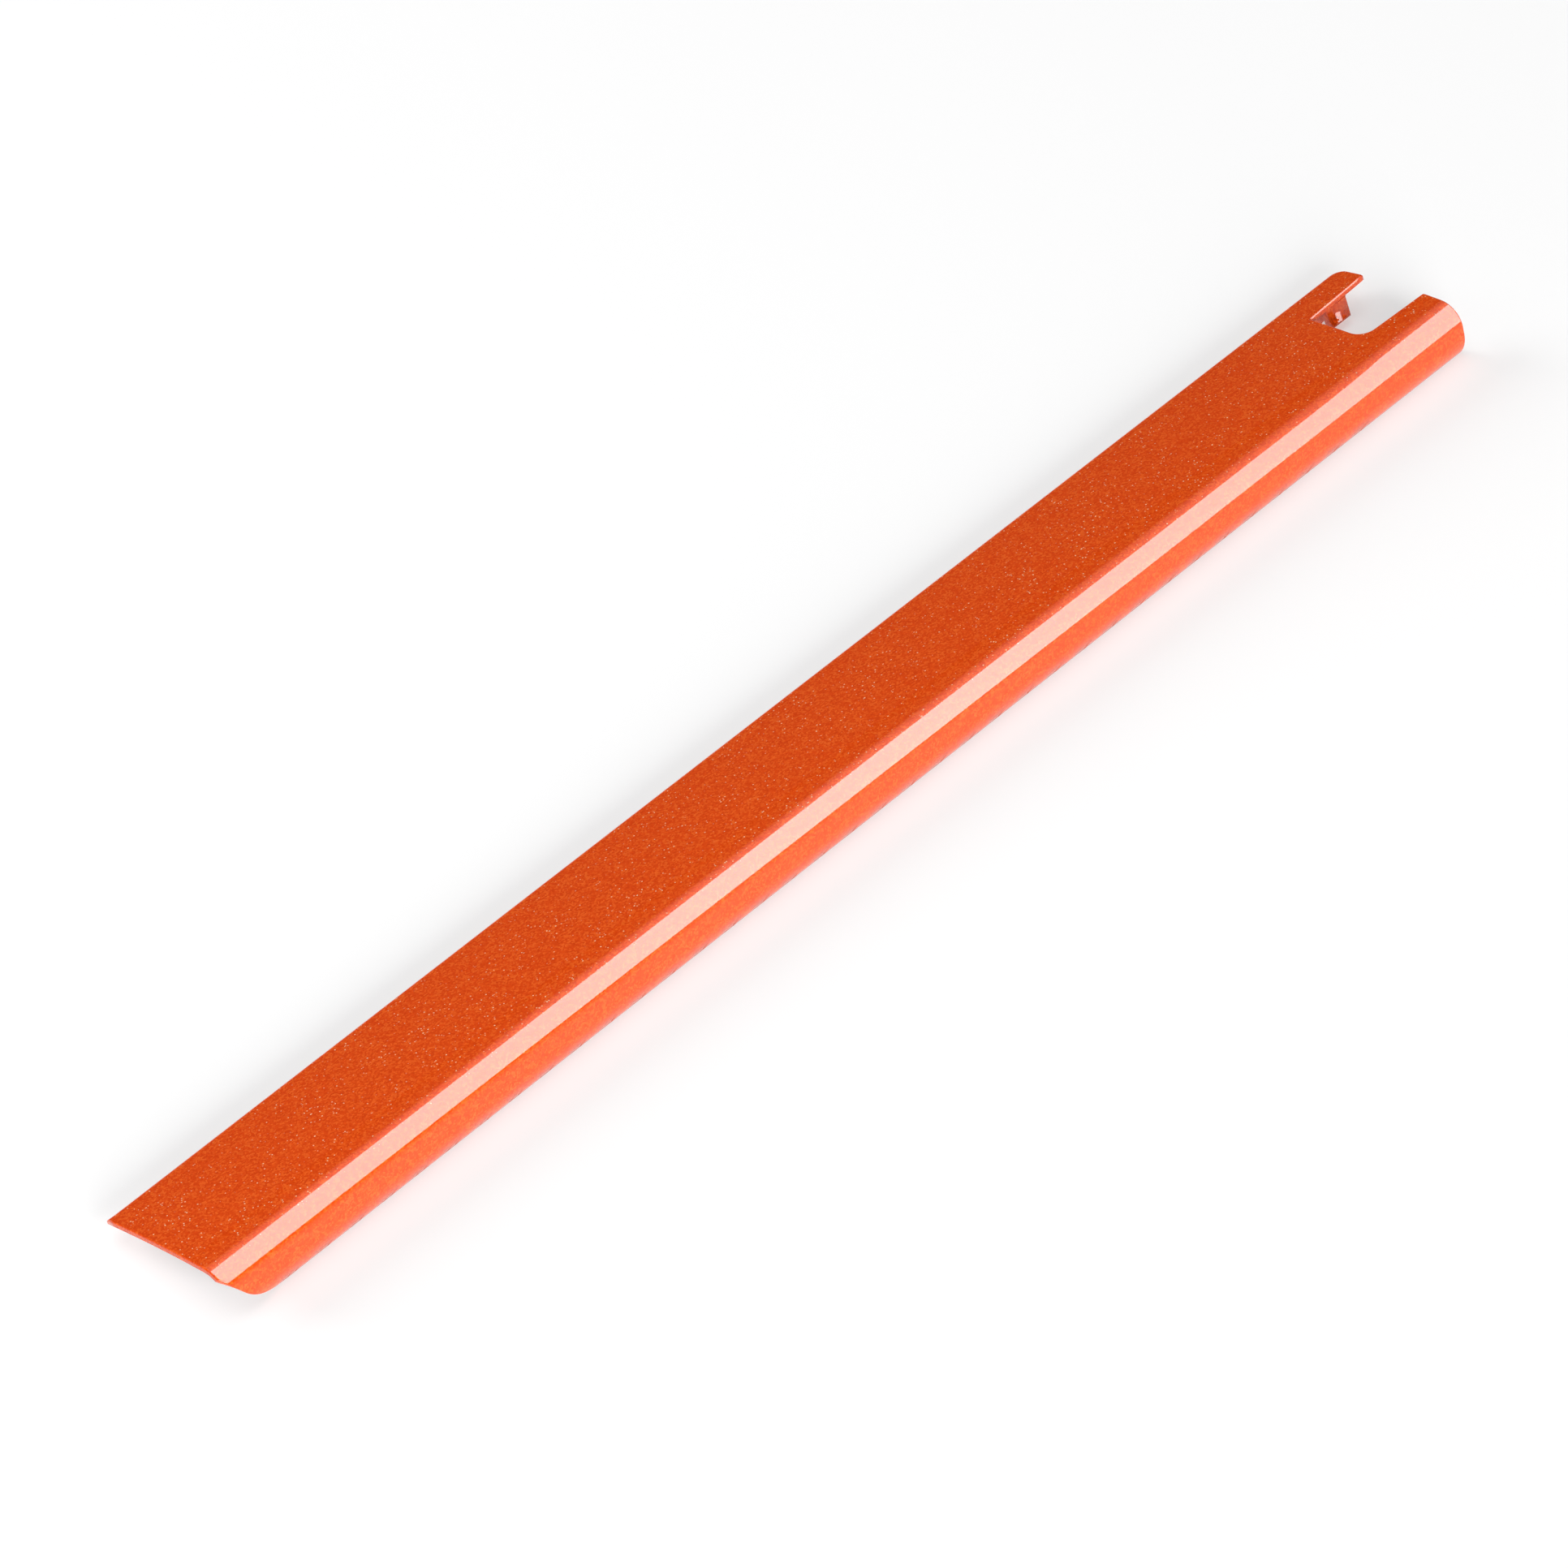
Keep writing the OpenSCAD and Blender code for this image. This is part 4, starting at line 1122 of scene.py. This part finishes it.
def orange_paint(colours):
    """Metallic basecoat under gloss lacquer, sprayed on a moulding: aluminium flakes lie at slightly different
    tilts and depths, so the orange is mottled and grainy, partly with painted highlight and shade, and lights up
    near a lamp's reflection; a few coarse flakes flash, partly as painted glints, and the mirror-smooth clear
    layer carries sharp reflections."""
    name = "Orange metallic basecoat under clear lacquer"
    if name in bpy.data.materials:
        return bpy.data.materials[name]
    made, tree, place = textured(name)
    # flakes are 0.03 to 0.05 mm across: single ones are drawn 0.5 mm wide, and their density drifts over 4 mm;
    # each cell is tinted at random between shaded, plain and lit copies of the paint: random tone and painted
    # highlight and shade
    drift = noise(tree, place, 260.0, 3.0, 0.55)
    _, flake = cells(tree, place, 1900.0)
    chance = node(tree, "ShaderNodeSeparateColor", {"Color": flake}).outputs[0]
    level = calc(tree, "MULTIPLY_ADD", chance, 0.75, calc(tree, "MULTIPLY", drift, 0.3))
    body = ramp(tree, level, (
        (0.15, shade(colours.paint_deep)), (0.55, shade(colours.paint)), (1.0, shade(colours.paint_lit))))
    # painted glints: sparse coarse flake cells in clusters 13 mm across, the rarest the brightest, drawn in a pale
    # glint colour; they show only where the face lies near level, and none on the roll
    distance, coarse = cells(tree, place, 1500.0)
    pick = node(tree, "ShaderNodeSeparateColor", {"Color": coarse}).outputs[1]
    rarity = calc(tree, "MULTIPLY_ADD", noise(tree, place, 75.0, 1.0), 0.22, pick)
    facing = node(tree, "ShaderNodeNewGeometry").outputs["Normal"]
    up = node(tree, "ShaderNodeSeparateXYZ", {"Vector": facing}).outputs["Z"]
    shown = calc(tree, "MULTIPLY", ranged(tree, rarity, 0.99, 1.13), calc(tree, "LESS_THAN", distance, 0.33))
    flash = calc(tree, "MULTIPLY", shown, ranged(tree, up, 0.93, 0.98))
    with_painted_glints = mixed(tree, flash, body, shade(colours.glint))
    # painted shade: towards the foot, where the curl turns under, the paint darkens to a dark orange brown
    tone = mixed(tree, attribute(tree, "thin_paint"), with_painted_glints, shade(colours.paint_thin))
    # fine flakes tilt by up to 6 degrees, and the coarse ones by up to 30, so that a few catch a lamp
    fine = vector_calc(tree, "MULTIPLY_ADD", flake, (0.2,) * 3, (-0.1,) * 3)
    wide = vector_calc(tree, "MULTIPLY_ADD", coarse, (1.1,) * 3, (-0.55,) * 3)
    tilt = node(tree, "ShaderNodeMix", {0: flash, 4: fine, 5: wide}, data_type="VECTOR").outputs[1]
    across = vector_calc(tree, "NORMALIZE", vector_calc(tree, "ADD", facing, tilt))
    # the basecoat has no surface of its own under the lacquer, so its specular level is nil
    show_principled(tree, {
        "Base Color": tone, "Normal": across, "Metallic": ranged(tree, flash, 0.0, 1.0, 0.1, 0.25), "Roughness": 0.4,
        "IOR": 1.5, "Specular IOR Level": 0.0, "Coat Weight": 1.0, "Coat Roughness": 0.02, "Coat IOR": 1.5})
    return made


def bare_backing(colours):
    """Glass-filled moulding, bare inside: a satin black from the tool's fine spark grain, with a mist of
    orange overspray that fades inward from the rims."""
    made, tree, place = textured("Bare black moulding with overspray")
    speck, cloud = noise(tree, place, 1500.0, 2.0, 0.7), noise(tree, place, 90.0, 3.0)
    mist = calc(tree, "MULTIPLY_ADD", attribute(tree, "overspray"), 1.5, speck)
    share = ranged(tree, calc(tree, "MULTIPLY_ADD", cloud, 0.5, mist), 1.0, 1.9)
    black = ramp(tree, cloud, ((0.3, shade(colours.backing, 0.85)), (0.7, shade(colours.backing))))
    show_principled(tree, {"Base Color": mixed(tree, share, black, shade(colours.paint)), "Roughness": 0.55,
                           "IOR": 1.49, "Normal": bump(tree, speck, 0.25, 0.03)})
    return made


def filled_nylon(colours):
    """Glass-filled nylon, injection moulded: dull black with a faint grey bloom of fibre at the skin."""
    name = "Glass-filled nylon"
    if name in bpy.data.materials:
        return bpy.data.materials[name]
    made, tree, place = textured(name)
    stretched = node(tree, "ShaderNodeMapping", {"Vector": place, "Scale": (0.35, 1.0, 1.0)}).outputs[0]
    fibre = noise(tree, stretched, 2600.0, 3.0, 0.65)
    tone = ramp(tree, fibre, ((0.35, shade(colours.nylon, 0.8)), (0.72, shade(colours.nylon, 1.7))))
    show_principled(tree, {"Base Color": tone, "Roughness": ranged(tree, fibre, 0.0, 1.0, 0.42, 0.62), "IOR": 1.53,
                           "Normal": bump(tree, fibre, 0.3, 0.02)})
    return made


def coated_steel(colours):
    """Spring steel with a zinc flake dip coat: satin silver grey with a fine cloudy grain, no brushing."""
    made, tree, place = textured("Zinc flake coated spring steel")
    cloud = noise(tree, place, 420.0, 4.0, 0.6)
    grain, _ = cells(tree, place, 5200.0)
    tone = ramp(tree, cloud, ((0.3, shade(colours.steel_coat, 0.78)), (0.7, shade(colours.steel_coat))))
    show_principled(tree, {"Base Color": tone, "Metallic": 1.0, "Roughness": ranged(tree, cloud, 0.2, 0.8, 0.3, 0.48),
                           "Normal": bump(tree, grain, 0.2, 0.01)})
    return made


def closed_cell_foam(colours):
    """Closed-cell rubber foam, slit from sheet: matte charcoal with cut cells about 0.3 mm across."""
    made, tree, place = textured("Closed-cell foam")
    pits, _ = cells(tree, place, 3000.0)
    tone = ramp(tree, pits, ((0.1, shade(colours.foam, 0.5)), (0.6, shade(colours.foam, 1.8))))
    show_principled(tree, {"Base Color": tone, "Roughness": 0.92, "IOR": 1.45, "Normal": bump(tree, pits, 0.7, 0.12)})
    return made


def needled_felt(colours):
    """Needled polyester felt: dull grey fibres, drawn 0.2 mm wide, ten times life size, with a faint sheen."""
    made, tree, place = textured("Needled felt")
    fibres = noise(tree, place, 2400.0, 5.0, 0.75, 1.2)
    tone = ramp(tree, fibres, ((0.3, shade(colours.felt, 0.45)), (0.7, shade(colours.felt, 1.7))))
    show_principled(tree, {"Base Color": tone, "Roughness": 0.95, "IOR": 1.45, "Sheen Weight": 0.35,
                           "Sheen Roughness": 0.5, "Normal": bump(tree, fibres, 0.8, 0.15)})
    return made


def studio_floor(colours):
    """Matt white studio paper: takes the strip's shadow, and is lifted to full white for the camera, for
    glossy rays and through clear things. It lets a view from below through."""
    made, tree = material("White studio paper")
    rays = node(tree, "ShaderNodeLightPath").outputs
    seen = calc(tree, "MAXIMUM", rays["Is Camera Ray"], rays["Is Glossy Ray"])
    seen = calc(tree, "MAXIMUM", seen, rays["Is Transmission Ray"])
    paper = node(tree, "ShaderNodeBsdfDiffuse", {"Color": shade(colours.floor)}).outputs[0]
    glow = node(tree, "ShaderNodeEmission", {"Strength": calc(tree, "MULTIPLY", seen, 0.5)}).outputs[0]
    both = node(tree, "ShaderNodeAddShader", {0: paper, 1: glow}).outputs[0]
    clear = node(tree, "ShaderNodeBsdfTransparent").outputs[0]
    side = node(tree, "ShaderNodeNewGeometry").outputs["Backfacing"]
    show(tree, node(tree, "ShaderNodeMixShader", {0: side, 1: both, 2: clear}).outputs[0])
    return made


def diffuser_cloth():
    """Lit diffuser cloth behind a honeycomb grid, which keeps its light within 5 degrees of the way it faces."""
    made, tree = material("Lit diffuser cloth")
    slant = node(tree, "ShaderNodeLayerWeight", {"Blend": 0.5}).outputs["Facing"]
    power = ranged(tree, slant, GRID_OPEN, GRID_SHUT, CARD_POWER, 0.0, interpolation_type="SMOOTHSTEP")
    strength = calc(tree, "MULTIPLY", attribute(tree, "level"), power)
    show(tree, node(tree, "ShaderNodeEmission", {"Strength": strength}).outputs[0])
    return made


def floor_mesh():
    """A round floor that curves up into a low backdrop."""
    profile = [(0.6, 0.0), (2.0, 0.0), (FLOOR_RADIUS, 0.0)]
    profile += [(FLOOR_RADIUS + math.sin(a), 1.0 - math.cos(a)) for a in np.linspace(0.2, math.pi / 2, 8)]
    turns = np.linspace(0, math.tau, FLOOR_SIDES, endpoint=False)
    verts = [(r * math.cos(t), r * math.sin(t), z - FLOOR_DROP) for r, z in profile for t in turns]
    verts.append((0, 0, -FLOOR_DROP))
    faces = []
    for j in range(FLOOR_SIDES):
        after = (j + 1) % FLOOR_SIDES
        faces.append((len(verts) - 1, j, after))
        faces += [(k + j, k + FLOOR_SIDES + j, k + FLOOR_SIDES + after, k + after)
                  for k in range(0, FLOOR_SIDES * (len(profile) - 1), FLOOR_SIDES)]
    return mesh_from("studio_floor", verts, faces)


def card_mesh(strip):
    """The strip light: a curved cloth whose mirror image, seen from the camera, runs the length of the bullnose,
    with a dim spill past its upper edge."""
    verts, faces, levels, ways = [], [], [], []
    for spill, rows in ((True, 7), (False, 9)):
        first = len(verts)
        for x, upper, lower, power in STRIP_LIGHT:
            start, end = (90, upper) if spill else (upper, lower)
            for k in range(rows):
                part = k / (rows - 1)
                turn = math.radians(start + (end - start) * part)
                out = np.array((0, math.cos(turn), math.sin(turn)))
                point = strip.lay([(x, strip.nose_y, strip.nose_z) + strip.nose_radius * out])[0]
                normal = strip.turn([out])[0]
                sight = (point - EYE) / np.linalg.norm(point - EYE)
                way = sight - 2 * (sight @ normal) * normal
                verts.append(point + CARD_DISTANCE * way)
                ways.append(tuple(-way))
                levels.append(power * (SPILL_SHARE * part if spill else 1.0))
        corners = [first + rows * k + i for k in range(len(STRIP_LIGHT) - 1) for i in range(rows - 1)]
        faces += [(c, c + 1, c + rows + 1, c + rows) for c in corners]
    mesh = mesh_from("strip_light", verts, faces)
    mesh.attributes.new("level", "FLOAT", "POINT").data.foreach_set("value", levels)
    mesh.normals_split_custom_set_from_vertices(ways)
    return mesh


class StudioStage(bpy.types.Operator):
    """Makes the pale floor, the soft lamps, the long strip light's card and the camera"""

    bl_idname = "strip.studio_stage"
    bl_label = "Studio stage"

    def execute(self, context):
        scene = context.scene
        mesh = floor_mesh()
        mesh.materials.append(studio_floor(scene.strip_colours))
        floor = new_object("studio_floor", mesh)
        floor.visible_shadow = False
        # only reflections see the strip light, so it lights nothing
        mesh = card_mesh(Strip(scene))
        mesh.materials.append(diffuser_cloth())
        card = new_object("strip_light", mesh)
        card.visible_camera = card.visible_diffuse = card.visible_shadow = card.visible_transmission = False

        for name, place, size, power in LAMPS:
            lamp = bpy.data.lights.new(name, "AREA")
            lamp.shape, lamp.size, lamp.energy = "DISK", size, power
            obj = new_object(name, lamp)
            aim = Vector(place).to_track_quat("Z", "Y").to_matrix().to_4x4()
            obj.matrix_world = Matrix.Translation(place) @ aim
            obj.visible_camera = False
            # the crowned face mirrors the back lamp at a grazing angle from some sides, so that one only lights
            obj.visible_glossy = name != "back_lamp"

        world = bpy.data.worlds.new("Dim studio")
        scene.world = world
        world.use_nodes = True
        world.node_tree.nodes["Background"].inputs["Color"].default_value = (0.05, 0.05, 0.05, 1.0)

        camera = bpy.data.cameras.new("camera")
        camera.sensor_width, camera.lens = 36.0, 185.72
        camera.clip_start, camera.clip_end = 0.01, 25.0
        obj = new_object("camera", camera)
        axes = Matrix([(r, u, -a) for r, u, a in zip(RIGHT, UP, AHEAD)]).to_4x4()
        obj.matrix_world = Matrix.Translation(EYE) @ axes
        scene.camera = obj
        scene.view_settings.view_transform = "Standard"
        return {"FINISHED"}


class StripPanel(bpy.types.Panel):
    """Lists the strip's pieces, sizes and colours"""

    bl_idname = "VIEW3D_PT_trim_strip"
    bl_label = "Trim Cover Strip"
    bl_space_type = "VIEW_3D"
    bl_region_type = "UI"
    bl_category = "Trim Strip"

    def draw(self, context):
        layout = self.layout
        for operator in PIECES:
            layout.operator(operator.bl_idname)
        for group in (context.scene.strip_sizes, context.scene.hook_sizes, context.scene.tower_sizes,
                      context.scene.tape_sizes, context.scene.strip_colours):
            box = layout.box()
            for key in group.__annotations__:
                box.prop(group, key)


PIECES = (PaintedFace, MouldedHooks, ClipTowers, SpringClips, LocatingPins, SoftTapes, StudioStage)
GROUPS = {
    "strip_sizes": StripSizes,
    "hook_sizes": HookSizes,
    "tower_sizes": TowerSizes,
    "tape_sizes": TapeSizes,
    "strip_colours": StripColours,
}


def register():
    for made in (*GROUPS.values(), *PIECES, StripPanel):
        bpy.utils.register_class(made)
    for key, group in GROUPS.items():
        setattr(bpy.types.Scene, key, PointerProperty(type=group))


def unregister():
    for key in GROUPS:
        delattr(bpy.types.Scene, key)
    for made in reversed((*GROUPS.values(), *PIECES, StripPanel)):
        bpy.utils.unregister_class(made)


def main():
    register()
    for operator in PIECES:
        family, name = operator.bl_idname.split(".")
        getattr(getattr(bpy.ops, family), name)()


if __name__ == "__main__":
    main()
